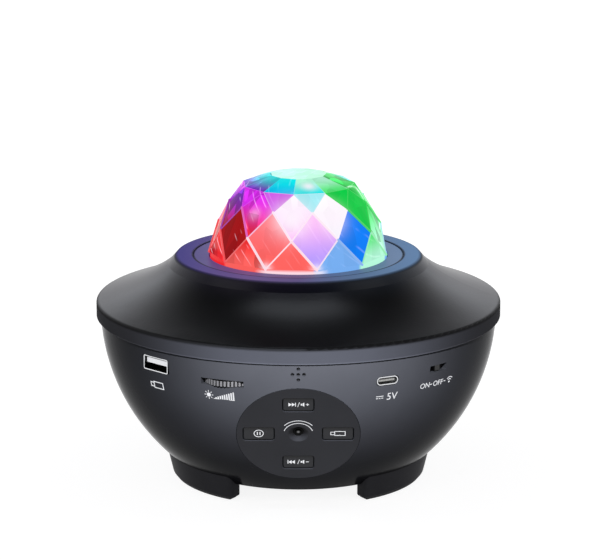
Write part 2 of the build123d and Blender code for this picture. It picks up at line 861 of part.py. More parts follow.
def facet_planes(inset):
    """Planes of all facets: low triangles, two rows of kites, and two rows below the top."""
    planes = []
    for i in range(dome_facets):
        low = [dome_corner(dome_low_corner, i), dome_corner(dome_low_corner, i + 1)]
        second = [dome_corner(dome_second_corner, i - 0.5), dome_corner(dome_second_corner, i + 0.5)]
        third = [dome_corner(third_corner, i), dome_corner(third_corner, i + 1)]
        fourth = [dome_corner(fourth_corner, i - 0.5), dome_corner(fourth_corner, i + 0.5)]
        planes.append(facet_plane(low[0], low[1], second[1], inset))
        planes.append(facet_plane(low[0], second[0], second[1], inset))
        planes.append(facet_plane(second[1], third[0], third[1], inset))
        planes.append(facet_plane(third[0], fourth[0], fourth[1], inset))
        planes.append(facet_plane(fourth[0], fourth[1], dome_corner(top_corner, i + 0.5), inset))
    return planes


with BuildPart() as dome_inside:
    inside_top = plateau_height + dome_height - dome_wall
    ring(0, dome_radius - dome_wall, dome_flange_bottom, inside_top)
    for plane in facet_planes(dome_wall):
        split(bisect_by=plane, keep=Keep.BOTTOM)

with BuildPart() as crystal_dome:
    ring(0, dome_radius, dome_flange_bottom, plateau_height + dome_height)
    for plane in facet_planes(0):
        split(bisect_by=plane, keep=Keep.BOTTOM)
    ring(0, dome_flange_radius, dome_flange_bottom, ledge_top_height)
    add(dome_inside.part, mode=Mode.SUBTRACT)
crystal_dome.part.label = "crystal_dome"
export_step(crystal_dome.part, "parts/crystal_dome.step")

# ---------------------------------------------------------------- control panel and buttons
button_spots = {
    "next_button": (0, button_circle),
    "previous_button": (0, -button_circle),
    "pause_button": (-button_circle, 0),
    "mode_button": (button_circle, 0),
}
with BuildPart() as control_panel:
    with BuildSketch(panel_plane(panel_thickness)):
        Circle(panel_radius)
        Circle(dimple_throat, mode=Mode.SUBTRACT)
        with Locations(*button_spots.values()):
            RectangleRounded(
                button_size[0] + 2 * slide_gap,
                button_size[1] + 2 * slide_gap,
                button_rounding + slide_gap,
                mode=Mode.SUBTRACT,
            )
    extrude(amount=panel_thickness)
    with BuildSketch(panel_plane(board_depth)):
        with PolarLocations(panel_boss_circle, 4, start_angle=45):
            Circle(panel_boss_radius)
    extrude(amount=board_depth - panel_thickness)
    with BuildSketch(panel_plane(board_depth)):
        with PolarLocations(panel_boss_circle, 4, start_angle=45):
            Circle(screw_radius)
    extrude(amount=board_depth - panel_thickness, mode=Mode.SUBTRACT)
    # funnel in front of the infrared receiver
    with BuildSketch(panel_plane(dimple_depth)):
        Circle(dimple_throat)
    with BuildSketch(panel_plane(0)):
        Circle(dimple_radius)
    loft(mode=Mode.SUBTRACT)
control_panel.part.label = "control_panel"
export_step(control_panel.part, "parts/control_panel.step")

plunger_depth = board_depth - tact_height - tact_plunger_height
flange_depth = panel_thickness + seat_gap / 2
stem_depth = plunger_depth - button_travel - seat_gap / 2
for button_name, spot in button_spots.items():
    with BuildPart() as button:
        with BuildSketch(panel_plane(flange_depth)):
            with Locations(spot):
                RectangleRounded(button_size[0], button_size[1], button_rounding)
        extrude(amount=flange_depth - button_recess)
        fillet(button.faces().sort_by(Axis((0, 0, 0), panel_normal))[-1].edges(), button_recess)
        with BuildSketch(panel_plane(flange_depth + button_flange_height)):
            with Locations(spot):
                RectangleRounded(
                    button_size[0] + 2 * button_flange,
                    button_size[1] + 2 * button_flange,
                    button_rounding + button_flange,
                )
        extrude(amount=button_flange_height)
        with BuildSketch(panel_plane(stem_depth)):
            with Locations(spot):
                Circle(tact_plunger_radius)
        extrude(amount=stem_depth - flange_depth)
    button.part.label = button_name
    export_step(button.part, f"parts/{button_name}.step")

window_flange_height = 0.8
with BuildPart() as receiver_window:
    with BuildSketch(panel_plane(panel_thickness)):
        Circle(dimple_throat - seat_gap / 2)
    extrude(amount=panel_thickness - dimple_depth + seat_gap)
    with BuildSketch(panel_plane(panel_thickness)):
        Circle(window_radius)
    extrude(amount=panel_thickness - dimple_depth + 3 * seat_gap)
    fillet(
        receiver_window.faces().sort_by(Axis((0, 0, 0), panel_normal))[-1].edges(), 1.5 * seat_gap
    )
    with BuildSketch(panel_plane(panel_thickness + window_flange_height)):
        Circle(dimple_radius)
    extrude(amount=window_flange_height)
receiver_window.part.label = "receiver_window"
export_step(receiver_window.part, "parts/receiver_window.step")

receiver_size = (5.4, 4.6)
receiver_front = panel_thickness + window_flange_height + seat_gap
with BuildPart() as infrared_receiver:
    with BuildSketch(panel_plane(board_depth)):
        Rectangle(receiver_size[0], receiver_size[1])
    extrude(amount=board_depth - receiver_front - window_radius)
    with BuildSketch(panel_plane(board_depth)):
        Circle(2 * window_radius - seat_gap)
    extrude(amount=board_depth - receiver_front)
infrared_receiver.part.label = "infrared_receiver"
export_step(infrared_receiver.part, "parts/infrared_receiver.step")

with BuildPart() as button_board:
    with BuildSketch(panel_plane(board_depth + board_thickness)):
        Circle(panel_radius - panel_ledge - 5 * seat_gap)
        with PolarLocations(panel_boss_circle, 4, start_angle=45):
            Circle(screw_radius + seat_gap, mode=Mode.SUBTRACT)
    extrude(amount=board_thickness)
button_board.part.label = "button_board"
export_step(button_board.part, "parts/button_board.step")

with BuildPart() as tact_switches:
    with BuildSketch(panel_plane(board_depth)):
        with Locations(*button_spots.values()):
            Rectangle(tact_size, tact_size)
    extrude(amount=tact_height)
    with BuildSketch(panel_plane(board_depth)):
        with Locations(*button_spots.values()):
            Circle(tact_plunger_radius)
    extrude(amount=tact_height + tact_plunger_height)
tact_switches.part.label = "tact_switches"
export_step(tact_switches.part, "parts/tact_switches.step")

board_back = board_depth + board_thickness
with BuildPart() as panel_screws:
    with BuildSketch(panel_plane(board_back + screw_head_height)):
        with PolarLocations(panel_boss_circle, 4, start_angle=45):
            Circle(screw_head_radius)
    extrude(amount=screw_head_height)
    with BuildSketch(panel_plane(board_back)):
        with PolarLocations(panel_boss_circle, 4, start_angle=45):
            Circle(screw_radius)
    extrude(amount=board_back - panel_thickness - seat_gap)
panel_screws.part.label = "panel_screws"
export_step(panel_screws.part, "parts/panel_screws.step")

# ---------------------------------------------------------------- main board
wheel_axis_radius = bowl_radius_at(wheel_height) + wheel_proud - wheel_radius
wheel_centre = around(wheel_angle, wheel_axis_radius)
with BuildPart() as main_board:
    sector(
        main_board_inner_radius,
        board_outer_radius,
        0,
        2 * main_board_span,
        main_board_bottom,
        main_board_top,
    )
    with BuildSketch(Plane.XY.offset(main_board_bottom)):
        with Locations((0, main_board_notch_depth - board_outer_radius)):
            Rectangle(notch_width, rim_radius, align=(Align.CENTER, Align.MAX))
        with Locations(*[around(angle, board_screw_circle) for angle in board_screw_angles]):
            Circle(screw_radius + seat_gap)
        with Locations(wheel_centre):
            Circle(wheel_shaft_radius + 2 * slide_gap)
    extrude(amount=board_thickness, mode=Mode.SUBTRACT)
main_board.part.label = "main_board"
export_step(main_board.part, "parts/main_board.step")

with BuildPart() as board_screws:
    board_head_top = main_board_top + screw_head_height
    shank_bottom = main_board_bottom - board_boss_height + wall
    posts(board_screw_angles, board_screw_circle, screw_head_radius, main_board_top, board_head_top)
    posts(board_screw_angles, board_screw_circle, screw_radius, shank_bottom, main_board_top)
board_screws.part.label = "board_screws"
export_step(board_screws.part, "parts/board_screws.step")

# chips: angle, distance from the board's inner edge, width, length, height
chip_list = ((-8, 2.6, 6.0, 4.0, 1.2), (8, 2.6, 6.0, 4.0, 1.2), (20, 8.0, 4.0, 4.0, 1.0))
# capacitors: angle, distance from the board's inner edge, radius, height
capacitor_list = ((-43, 3.8, 2.5, 7.0), (38, 5.0, 2.5, 7.0), (49, 5.0, 3.1, 8.0))
with BuildPart() as board_components:
    for angle, distance, width, length, height in chip_list:
        size = (width, length)
        spot = around(angle, main_board_inner_radius + distance)
        block(spot, size, main_board_top, main_board_top + height, angle)
    for angle, distance, radius, height in capacitor_list:
        spot = around(angle, main_board_inner_radius + distance)
        ring(0, radius, main_board_top, main_board_top + height, spot)
board_components.part.label = "board_components"
export_step(board_components.part, "parts/board_components.step")

with BuildPart() as microphone:
    with BuildSketch(outward_plane(0, mic_seat - seat_gap / 2, mic_height)):
        Circle(mic_radius)
    extrude(amount=-(mic_depth - seat_gap))
microphone.part.label = "microphone"
export_step(microphone.part, "parts/microphone.step")


# ---------------------------------------------------------------- brightness wheel
with BuildPart() as brightness_wheel:
    wheel_bottom = wheel_height - wheel_thickness / 2
    with BuildSketch(Plane.XY.offset(wheel_bottom)):
        with Locations(wheel_centre):
            Circle(wheel_radius)
            with PolarLocations(wheel_radius, wheel_notches):
                Circle(wheel_notch_radius, mode=Mode.SUBTRACT)
    extrude(amount=wheel_thickness)
    shaft_bottom = main_board_bottom - pot_height + slide_gap
    ring(0, wheel_shaft_radius, shaft_bottom, wheel_bottom, wheel_centre)
    hub_bottom = main_board_top + slide_gap / 2
    ring(0, 2 * wheel_shaft_radius, hub_bottom, wheel_bottom, wheel_centre)
brightness_wheel.part.label = "brightness_wheel"
export_step(brightness_wheel.part, "parts/brightness_wheel.step")

with BuildPart() as potentiometer:
    pot_bottom = main_board_bottom - pot_height
    ring(0, pot_radius, pot_bottom, main_board_bottom, wheel_centre)
    pot_bore = wheel_shaft_radius + running_gap
    ring(0, pot_bore, pot_bottom, main_board_bottom, wheel_centre, Mode.SUBTRACT)
potentiometer.part.label = "potentiometer"
export_step(potentiometer.part, "parts/potentiometer.step")


# ---------------------------------------------------------------- connectors
def connector_plane(angle, height, depth):
    """Plane behind a connector's mouth, facing outwards."""
    return outward_plane(angle, bowl_radius_at(height) - mouth_inset - depth, height)


def solder_legs(angle, height, width, bottom, depths, leg_run):
    """Sheet legs from the underside of a metal shell down to the main board."""
    drop = height - main_board_top
    for depth in depths:
        with BuildSketch(connector_plane(angle, height, depth)) as legs:
            for side in (-1, 1):
                with Locations((side * (width - shell_sheet) / 2, -drop)):
                    Rectangle(shell_sheet, drop - bottom, align=(Align.CENTER, Align.MIN))
        extrude(legs.sketch, amount=-leg_run)


usb_a_inner = (usb_a_size[0] - 2 * shell_sheet, usb_a_size[1] - 2 * shell_sheet)
usb_a_block_depth = usb_a_depth - 2.0
with BuildPart() as usb_a_shell:
    with BuildSketch(connector_plane(usb_a_angle, usb_a_height, 0)):
        RectangleRounded(usb_a_size[0], usb_a_size[1], 2 * shell_sheet)
        RectangleRounded(usb_a_inner[0], usb_a_inner[1], shell_sheet, mode=Mode.SUBTRACT)
    extrude(amount=-usb_a_depth)
    straight = usb_a_size[0] - 4 * shell_sheet
    half_height = usb_a_size[1] / 2 - shell_sheet / 2
    leg_depths = (usb_a_leg_front, usb_a_depth - usb_a_leg_rear)
    solder_legs(usb_a_angle, usb_a_height, straight, half_height, leg_depths, shell_leg_run)
usb_a_shell.part.label = "usb_a_shell"
export_step(usb_a_shell.part, "parts/usb_a_shell.step")

usb_a_tongue_size = (11.1, 1.9)
usb_a_tongue_inset = 0.8
usb_a_tongue_up = 0.9
with BuildPart() as usb_a_tongue:
    with BuildSketch(connector_plane(usb_a_angle, usb_a_height, usb_a_block_depth)):
        RectangleRounded(usb_a_inner[0], usb_a_inner[1], shell_sheet)
    extrude(amount=usb_a_block_depth - usb_a_depth)
    with BuildSketch(connector_plane(usb_a_angle, usb_a_height, usb_a_block_depth)):
        with Locations((0, usb_a_tongue_up)):
            Rectangle(usb_a_tongue_size[0], usb_a_tongue_size[1])
    extrude(amount=usb_a_block_depth - usb_a_tongue_inset)
usb_a_tongue.part.label = "usb_a_tongue"
export_step(usb_a_tongue.part, "parts/usb_a_tongue.step")

contact_thickness = 0.2
with BuildPart() as usb_a_contacts:
    with BuildSketch(connector_plane(usb_a_angle, usb_a_height, usb_a_block_depth)):
        tongue_underside = usb_a_tongue_up - usb_a_tongue_size[1] / 2
        for column in (-3.5, -1.0, 1.0, 3.5):
            with Locations((column, tongue_underside)):
                Rectangle(1.1, contact_thickness, align=(Align.CENTER, Align.MAX))
    extrude(amount=usb_a_block_depth - 2 * usb_a_tongue_inset)
usb_a_contacts.part.label = "usb_a_contacts"
export_step(usb_a_contacts.part, "parts/usb_a_contacts.step")

with BuildPart() as usb_c_shell:
    with BuildSketch(connector_plane(usb_c_angle, usb_c_height, 0)):
        SlotOverall(usb_c_size[0], usb_c_size[1])
        SlotOverall(
            usb_c_size[0] - 2 * shell_sheet, usb_c_size[1] - 2 * shell_sheet, mode=Mode.SUBTRACT
        )
    extrude(amount=-usb_c_depth)
    straight = usb_c_size[0] - usb_c_size[1]
    half_height = usb_c_size[1] / 2 - shell_sheet / 2
    leg_depths = (usb_c_leg_front, usb_c_depth - shell_leg_run)
    solder_legs(usb_c_angle, usb_c_height, straight, half_height, leg_depths, shell_leg_run)
usb_c_shell.part.label = "usb_c_shell"
export_step(usb_c_shell.part, "parts/usb_c_shell.step")

usb_c_tongue_size = (6.7, 0.7)
usb_c_block_depth = usb_c_depth - 1.5
with BuildPart() as usb_c_tongue:
    with BuildSketch(connector_plane(usb_c_angle, usb_c_height, usb_c_block_depth)):
        SlotOverall(usb_c_size[0] - 2 * shell_sheet, usb_c_size[1] - 2 * shell_sheet)
    extrude(amount=usb_c_block_depth - usb_c_depth)
    with BuildSketch(connector_plane(usb_c_angle, usb_c_height, usb_c_block_depth)):
        Rectangle(usb_c_tongue_size[0], usb_c_tongue_size[1])
    extrude(amount=usb_c_block_depth - usb_a_tongue_inset)
usb_c_tongue.part.label = "usb_c_tongue"
export_step(usb_c_tongue.part, "parts/usb_c_tongue.step")

# ---------------------------------------------------------------- slide switch
switch_face = bowl_radius_at(switch_height, wall) - 2 * slide_gap
switch_sheet = 0.6
carriage_size = (5.0, 3.0)
carriage_depth = 1.6
slot_half = switch_nub[0] / 2 + switch_travel + slide_gap
with BuildPart() as power_switch_body:
    with BuildSketch(outward_plane(switch_angle, switch_face, switch_height)):
        Rectangle(switch_body_size[0], switch_body_size[1])
    extrude(amount=-switch_body_size[2])
    with BuildSketch(outward_plane(switch_angle, switch_face - switch_sheet, switch_height)):
        Rectangle(
            carriage_size[0] + 2 * switch_travel + 2 * slide_gap, carriage_size[1] + 2 * slide_gap
        )
    extrude(amount=-(carriage_depth + 2 * slide_gap), mode=Mode.SUBTRACT)
    with BuildSketch(outward_plane(switch_angle, switch_face, switch_height)):
        Rectangle(2 * slot_half, switch_nub[1] + 2 * slide_gap)
    extrude(amount=-2 * switch_sheet, mode=Mode.SUBTRACT)
    drop = switch_height - main_board_top
    with BuildSketch(outward_plane(switch_angle, switch_face - wall, switch_height)):
        for side in (-1, 1):
            with Locations((side * (switch_body_size[0] / 2 - switch_sheet), -drop)):
                leg_height = drop - switch_body_size[1] / 2 + switch_sheet / 2
                Rectangle(switch_sheet, leg_height, align=(Align.CENTER, Align.MIN))
    extrude(amount=-2 * switch_sheet)
power_switch_body.part.label = "power_switch_body"
export_step(power_switch_body.part, "parts/power_switch_body.step")

switch_nub_face = bowl_radius_at(switch_height) - 2 * mouth_inset
carriage_face = switch_face - switch_sheet - slide_gap
with BuildPart() as power_switch_slider:
    with BuildSketch(outward_plane(switch_angle, carriage_face, switch_height)):
        Rectangle(carriage_size[0], carriage_size[1])
    extrude(amount=-carriage_depth)
    with BuildSketch(outward_plane(switch_angle, carriage_face, switch_height)):
        Rectangle(switch_nub[0], switch_nub[1])
    extrude(amount=switch_nub_face - carriage_face)
power_switch_slider.part.label = "power_switch_slider"
export_step(power_switch_slider.part, "parts/power_switch_slider.step")

# ---------------------------------------------------------------- light engine
ripple_gear_top = gear_bottom + gear_width
pin_top = ripple_gear_top + ripple_hub_extra + retainer_height / 2
collar_bore = sleeve_outer_radius + running_gap
collar_outer = collar_bore + collar_wall
sleeve_bottom = deck_height - sleeve_depth
collar_bottom = deck_height - collar_depth
laser_bore_top = sleeve_bottom - slide_gap
cup_inner_radius = chassis_radius - chassis_wall
flange_radius = ledge_inner_radius - seat_gap
chassis_top = dome_flange_bottom
flange_bottom = chassis_top - chassis_flange_thickness
wing_top = ledge_bottom_height
column_centres = [around(angle, column_circle) for angle in column_angles]
led_spots = [
    (
        ripple_centre[0] + led_circle * cos(2 * pi * (i + 0.5) / led_count),
        ripple_centre[1] + led_circle * sin(2 * pi * (i + 0.5) / led_count),
    )
    for i in range(led_count)
]
with BuildPart() as optical_chassis:
    ring(0, chassis_radius, cup_bottom_height, chassis_top)
    ring(0, flange_radius, flange_bottom, chassis_top)
    for angle in plate_screw_angles:
        wing_run = flange_radius + wing_reach
        wing_middle = around(angle, (wing_run + chassis_radius) / 2)
        wing_size = (wing_width, wing_run - chassis_radius + wall)
        block(wing_middle, wing_size, wing_top - wing_thickness, wing_top, angle)
    ring(0, cup_inner_radius, cup_bottom_height, deck_bottom, mode=Mode.SUBTRACT)
    ring(0, cup_inner_radius, deck_height, chassis_top, mode=Mode.SUBTRACT)
    # columns that carry the lamp board and the heat sink
    for centre in column_centres:
        ring(0, column_radius, cup_bottom_height, deck_height, centre)
    # pin with its shoulder for the ripple disc
    shoulder_top = deck_height + deck_clearance - seat_gap / 2
    ring(0, ripple_hub_radius, deck_bottom, shoulder_top, ripple_centre)
    ring(0, ripple_pin_radius, deck_bottom, pin_top, ripple_centre)
    # collar for the star grating's sleeve, with the laser held below
    ring(0, collar_outer, collar_bottom, deck_height, grating_centre)
    ring(0, collar_bore, laser_bore_top, deck_height, grating_centre, Mode.SUBTRACT)
    ring(0, laser_radius, collar_bottom, deck_height, grating_centre, Mode.SUBTRACT)
    # light windows, and the motor's shaft
    for spot in led_spots:
        ring(0, lens_top_radius, deck_bottom, deck_height, spot, Mode.SUBTRACT)
    ring(0, 3 * motor_shaft_radius, deck_bottom, deck_height, pinion_centre, Mode.SUBTRACT)
    posts(
        plate_screw_angles,
        wing_screw_circle,
        screw_radius + seat_gap,
        wing_top - wing_thickness,
        wing_top,
        Mode.SUBTRACT,
    )
    for centre in column_centres:
        pilot_top = deck_height - deck_thickness
        ring(0, screw_radius, cup_bottom_height, pilot_top, centre, Mode.SUBTRACT)
optical_chassis.part.label = "optical_chassis"
export_step(optical_chassis.part, "parts/optical_chassis.step")

with BuildPart() as chassis_screws:
    wing_bottom = wing_top - wing_thickness
    wing_grip = wing_top + 2 * wall - wing_bottom - wall / 2
    screws(plate_screw_angles, wing_screw_circle, wing_bottom - screw_head_height, wing_grip)
chassis_screws.part.label = "chassis_screws"
export_step(chassis_screws.part, "parts/chassis_screws.step")

led_board_bottom = cup_bottom_height - board_thickness
motor_bottom = deck_bottom - motor_height
laser_bottom = laser_bore_top - laser_length + sleeve_depth
with BuildPart() as led_board:
    ring(0, led_board_radius, led_board_bottom, cup_bottom_height)
    motor_hole = motor_radius + 2 * seat_gap
    laser_hole = laser_radius + 2 * seat_gap
    ring(0, motor_hole, led_board_bottom, cup_bottom_height, pinion_centre, Mode.SUBTRACT)
    ring(0, laser_hole, led_board_bottom, cup_bottom_height, grating_centre, Mode.SUBTRACT)
    for centre in column_centres:
        hole = screw_radius + seat_gap
        ring(0, hole, led_board_bottom, cup_bottom_height, centre, Mode.SUBTRACT)
led_board.part.label = "led_board"
export_step(led_board.part, "parts/led_board.step")

with BuildPart() as led_lamps:
    for spot in led_spots:
        block(spot, (led_size, led_size), cup_bottom_height, cup_bottom_height + led_height)
led_lamps.part.label = "led_lamps"
export_step(led_lamps.part, "parts/led_lamps.step")

lens_top = deck_bottom - lens_gap_below_deck
with BuildPart() as led_lenses:
    for spot in led_spots:
        with BuildSketch(Plane.XY.offset(cup_bottom_height)) as lens_foot:
            with Locations(spot):
                Circle(lens_bottom_radius)
        with BuildSketch(Plane.XY.offset(lens_top)) as lens_face:
            with Locations(spot):
                Circle(lens_top_radius)
        loft(sections=[lens_foot.sketch, lens_face.sketch])
        cavity_top = cup_bottom_height + lens_cavity_height
        ring(0, lens_cavity_radius, cup_bottom_height, cavity_top, spot, Mode.SUBTRACT)
led_lenses.part.label = "led_lenses"
export_step(led_lenses.part, "parts/led_lenses.step")

with BuildPart() as heat_sink:
    sink_top = led_board_bottom
    sink_bottom = sink_top - heat_sink_base - fin_height
    ring(0, heat_sink_radius, sink_top - heat_sink_base, sink_top)
    fin_count = int(2 * heat_sink_radius / fin_pitch)
    with BuildSketch(Plane.XY.offset(sink_bottom)):
        with GridLocations(fin_pitch, 0, fin_count, 1):
            Rectangle(fin_thickness, 2 * heat_sink_radius)
        Circle(heat_sink_radius - fin_inset, mode=Mode.INTERSECT)
    extrude(amount=fin_height + heat_sink_base / 2)
    ring(0, motor_hole + wall / 2, sink_bottom, sink_top, pinion_centre, Mode.SUBTRACT)
    ring(0, laser_hole, sink_bottom, sink_top, grating_centre, Mode.SUBTRACT)
    for centre in column_centres:
        ring(0, screw_radius + seat_gap, sink_bottom, sink_top, centre, Mode.SUBTRACT)
        sink_face = sink_top - heat_sink_base
        ring(0, screw_head_radius + seat_gap, sink_bottom, sink_face, centre, Mode.SUBTRACT)
heat_sink.part.label = "heat_sink"
export_step(heat_sink.part, "parts/heat_sink.step")

with BuildPart() as heat_sink_screws:
    sink_head_bottom = sink_face - screw_head_height
    sink_screw_length = deck_bottom - wall - sink_face
    screws(column_angles, column_circle, sink_head_bottom, sink_screw_length)
heat_sink_screws.part.label = "heat_sink_screws"
export_step(heat_sink_screws.part, "parts/heat_sink_screws.step")


# ---------------------------------------------------------------- gear train
def gear_sketch(teeth, centre, turn):
    """Gear outline with straight-sided teeth; turn puts a tooth at that angle from +X."""
    pitch_radius = gear_module * teeth / 2
    root_radius = pitch_radius - tooth_dedendum * gear_module
    tip_radius = pitch_radius + tooth_addendum * gear_module
    half_pitch_width = pi * gear_module * tooth_fill / 2
    flank = 0.36                       # tangent of the flank's angle
    half_tip = half_pitch_width - flank * (tip_radius - pitch_radius)
    half_root = half_pitch_width + flank * (pitch_radius - root_radius)
    root_x = sqrt(root_radius * root_radius - half_root * half_root) - half_tip
    tooth = ((root_x, -half_root), (tip_radius, -half_tip), (tip_radius, half_tip), (root_x, half_root))
    with BuildSketch() as outline:
        with Locations(centre):
            Circle(root_radius)
            with PolarLocations(0, teeth, start_angle=turn):
                Polygon(*tooth, align=None)
    return outline.sketch


def gear(teeth, centre, turn, low, high):
    """Gear between two heights, in the part that is being built."""
    outline = gear_sketch(teeth, centre, turn)
    extrude(outline.moved(Location((0, 0, low))), amount=high - low)


with BuildPart() as ripple_disc:
    gear(ripple_teeth, ripple_centre, 0, gear_bottom, ripple_gear_top)
    rim_inner = ripple_radius - tooth_dedendum * gear_module - ripple_rim
    web_top = gear_bottom + ripple_web
    ring(0, rim_inner, web_top, ripple_gear_top, ripple_centre, Mode.SUBTRACT)
    hub_top = ripple_gear_top + ripple_hub_extra
    ring(0, ripple_hub_radius, gear_bottom, hub_top, ripple_centre)
    bore = ripple_pin_radius + running_gap
    ring(0, bore, gear_bottom, hub_top, ripple_centre, Mode.SUBTRACT)
ripple_disc.part.label = "ripple_disc"
export_step(ripple_disc.part, "parts/ripple_disc.step")

with BuildPart() as disc_retainer:
    retainer_bottom = hub_top + seat_gap / 2
    ring(
        0,
        retainer_radius,
        retainer_bottom,
        retainer_bottom + retainer_height,
        ripple_centre,
    )
    ring(0, ripple_pin_radius, retainer_bottom, pin_top, ripple_centre, Mode.SUBTRACT)
disc_retainer.part.label = "disc_retainer"
export_step(disc_retainer.part, "parts/disc_retainer.step")

# The ripple disc points a tooth at the grating gear, which has a gap there.
grating_turn = 180 + 180 / grating_teeth
with BuildPart() as grating_gear:
    gear(grating_teeth, grating_centre, grating_turn, gear_bottom, ripple_gear_top)
    ring(0, sleeve_outer_radius, sleeve_bottom, gear_bottom, grating_centre)
    sleeve_inner = sleeve_outer_radius - sleeve_wall
    ring(0, sleeve_inner, sleeve_bottom, ripple_gear_top, grating_centre, Mode.SUBTRACT)
    seat_bottom = ripple_gear_top - 2 * grating_thickness
    seat_radius = sleeve_outer_radius - sleeve_wall / 2
    ring(0, seat_radius, seat_bottom, ripple_gear_top, grating_centre, Mode.SUBTRACT)
grating_gear.part.label = "grating_gear"
export_step(grating_gear.part, "parts/grating_gear.step")

with BuildPart() as star_grating:
    grating_edge = seat_radius - seat_gap / 2
    ring(0, grating_edge, seat_bottom, seat_bottom + grating_thickness, grating_centre)
star_grating.part.label = "star_grating"
export_step(star_grating.part, "parts/star_grating.step")

# The pinion stands a quarter turn on, so its gap follows the disc's nearest tooth there.
tooth_share = (ripple_teeth / 4) % 1
pinion_turn = 270 + 360 / pinion_teeth * (tooth_share + 0.5)
with BuildPart() as motor_pinion:
    gear(pinion_teeth, pinion_centre, pinion_turn, gear_bottom, ripple_gear_top)
    shaft_low = deck_bottom - motor_shaft_grip
    ring(0, motor_shaft_radius, shaft_low, ripple_gear_top, pinion_centre)
motor_pinion.part.label = "motor_pinion"
export_step(motor_pinion.part, "parts/motor_pinion.step")

with BuildPart() as drive_motor:
    ring(0, motor_radius, motor_bottom, deck_bottom, pinion_centre)
    motor_bore = motor_shaft_radius + running_gap
    bore_bottom = shaft_low - slide_gap
    ring(0, motor_bore, bore_bottom, deck_bottom, pinion_centre, Mode.SUBTRACT)
drive_motor.part.label = "drive_motor"
export_step(drive_motor.part, "parts/drive_motor.step")

with BuildPart() as laser_module:
    tip_top = laser_bottom + laser_length
    ring(0, laser_radius, laser_bottom, laser_bore_top, grating_centre)
    ring(0, laser_tip_radius, laser_bore_top, tip_top, grating_centre)
    ring(0, laser_tip_radius / 2, tip_top - wall / 2, tip_top, grating_centre, Mode.SUBTRACT)
laser_module.part.label = "laser_module"
export_step(laser_module.part, "parts/laser_module.step")


# ---------------------------------------------------------------- internal leads
def corner_radii(points):
    """Largest tangent arc at each corner that the shorter of its two runs allows."""
    radii = []
    for before, corner, after in zip(points, points[1:], points[2:]):
        first = corner - before
        second = after - corner
        half_turn = radians(first.get_angle(second)) / 2
        radii.append(lead_slack * min(first.length, second.length) / tan(half_turn))
    return radii


def lead(route, radius):
    """Round lead along straight runs joined by arcs, in the part that is being built."""
    points = [Vector(*point) for point in route]
    radii = corner_radii(points)
    print("lead radii", [round(value, 1) for value in radii])
    with BuildLine() as path:
        FilletPolyline(*points, radius=radii)
    with BuildSketch(Plane(origin=points[0], z_dir=points[1] - points[0])) as section:
        Circle(radius)
    sweep(section.sketch, path=path.wires()[0])


def route_point(angle, radius, height):
    """Point of a lead's route: angle from the front, distance from the axis, height."""
    x, y = around(angle, radius)
    return (x, y, height)


board_solder_radius = main_board_inner_radius + wall
# angle from the front, share of the way outwards, share of the way up
speaker_lead_route = (
    (-62, 0.0, 0.0),
    (-62, 0.03, 0.26),
    (-56, 0.31, 0.57),
    (-49, 0.82, 0.72),
    (-48, 1.0, 1.0),
)
with BuildPart() as speaker_lead:
    solder_spot = flange_inner + surround_roll
    lead_run = board_solder_radius - solder_spot
    lead_rise = main_board_bottom - speaker_flange_top
    lead(
        [
            route_point(angle, solder_spot + out * lead_run, speaker_flange_top + up * lead_rise)
            for angle, out, up in speaker_lead_route
        ],
        speaker_lead_radius,
    )
    split(bisect_by=Plane.XY.offset(speaker_flange_top), keep=Keep.TOP)
    split(bisect_by=Plane.XY.offset(main_board_bottom), keep=Keep.BOTTOM)
speaker_lead.part.label = "speaker_lead"
export_step(speaker_lead.part, "parts/speaker_lead.step")

with BuildPart() as lamp_lead:
    solder_spot = (heat_sink_radius + led_board_radius) / 2
    lead_run = board_solder_radius - solder_spot
    lead(
        [
            route_point(24, solder_spot, led_board_bottom),
            route_point(24, solder_spot + lead_run / 25, led_board_bottom - lamp_lead_sag),
            route_point(23, solder_spot + lead_run / 2.5, main_board_bottom - lamp_lead_sag),
            route_point(21, board_solder_radius - wall, main_board_bottom - lamp_lead_sag),
            route_point(20, board_solder_radius, main_board_bottom),
        ],
        lamp_lead_radius,
    )
    split(bisect_by=Plane.XY.offset(led_board_bottom), keep=Keep.BOTTOM)
    ring(
        main_board_inner_radius,
        board_outer_radius,
        main_board_bottom,
        main_board_top,
        mode=Mode.SUBTRACT,
    )
lamp_lead.part.label = "lamp_lead"
export_step(lamp_lead.part, "parts/lamp_lead.step")

with BuildPart() as panel_lead:
    board_rear = panel_plane(board_back)
    lead(
        [
            tuple(board_rear.from_local_coords((*panel_solder_spot, 0))),
            tuple(board_rear.from_local_coords((*panel_solder_spot, -panel_lead_bow))),
            (panel_solder_spot[0] - wall / 2, -board_solder_radius, main_board_bottom),
        ],
        panel_lead_radius,
    )
    split(bisect_by=Plane.XY.offset(main_board_bottom), keep=Keep.BOTTOM)
panel_lead.part.label = "panel_lead"
export_step(panel_lead.part, "parts/panel_lead.step")
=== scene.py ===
import math

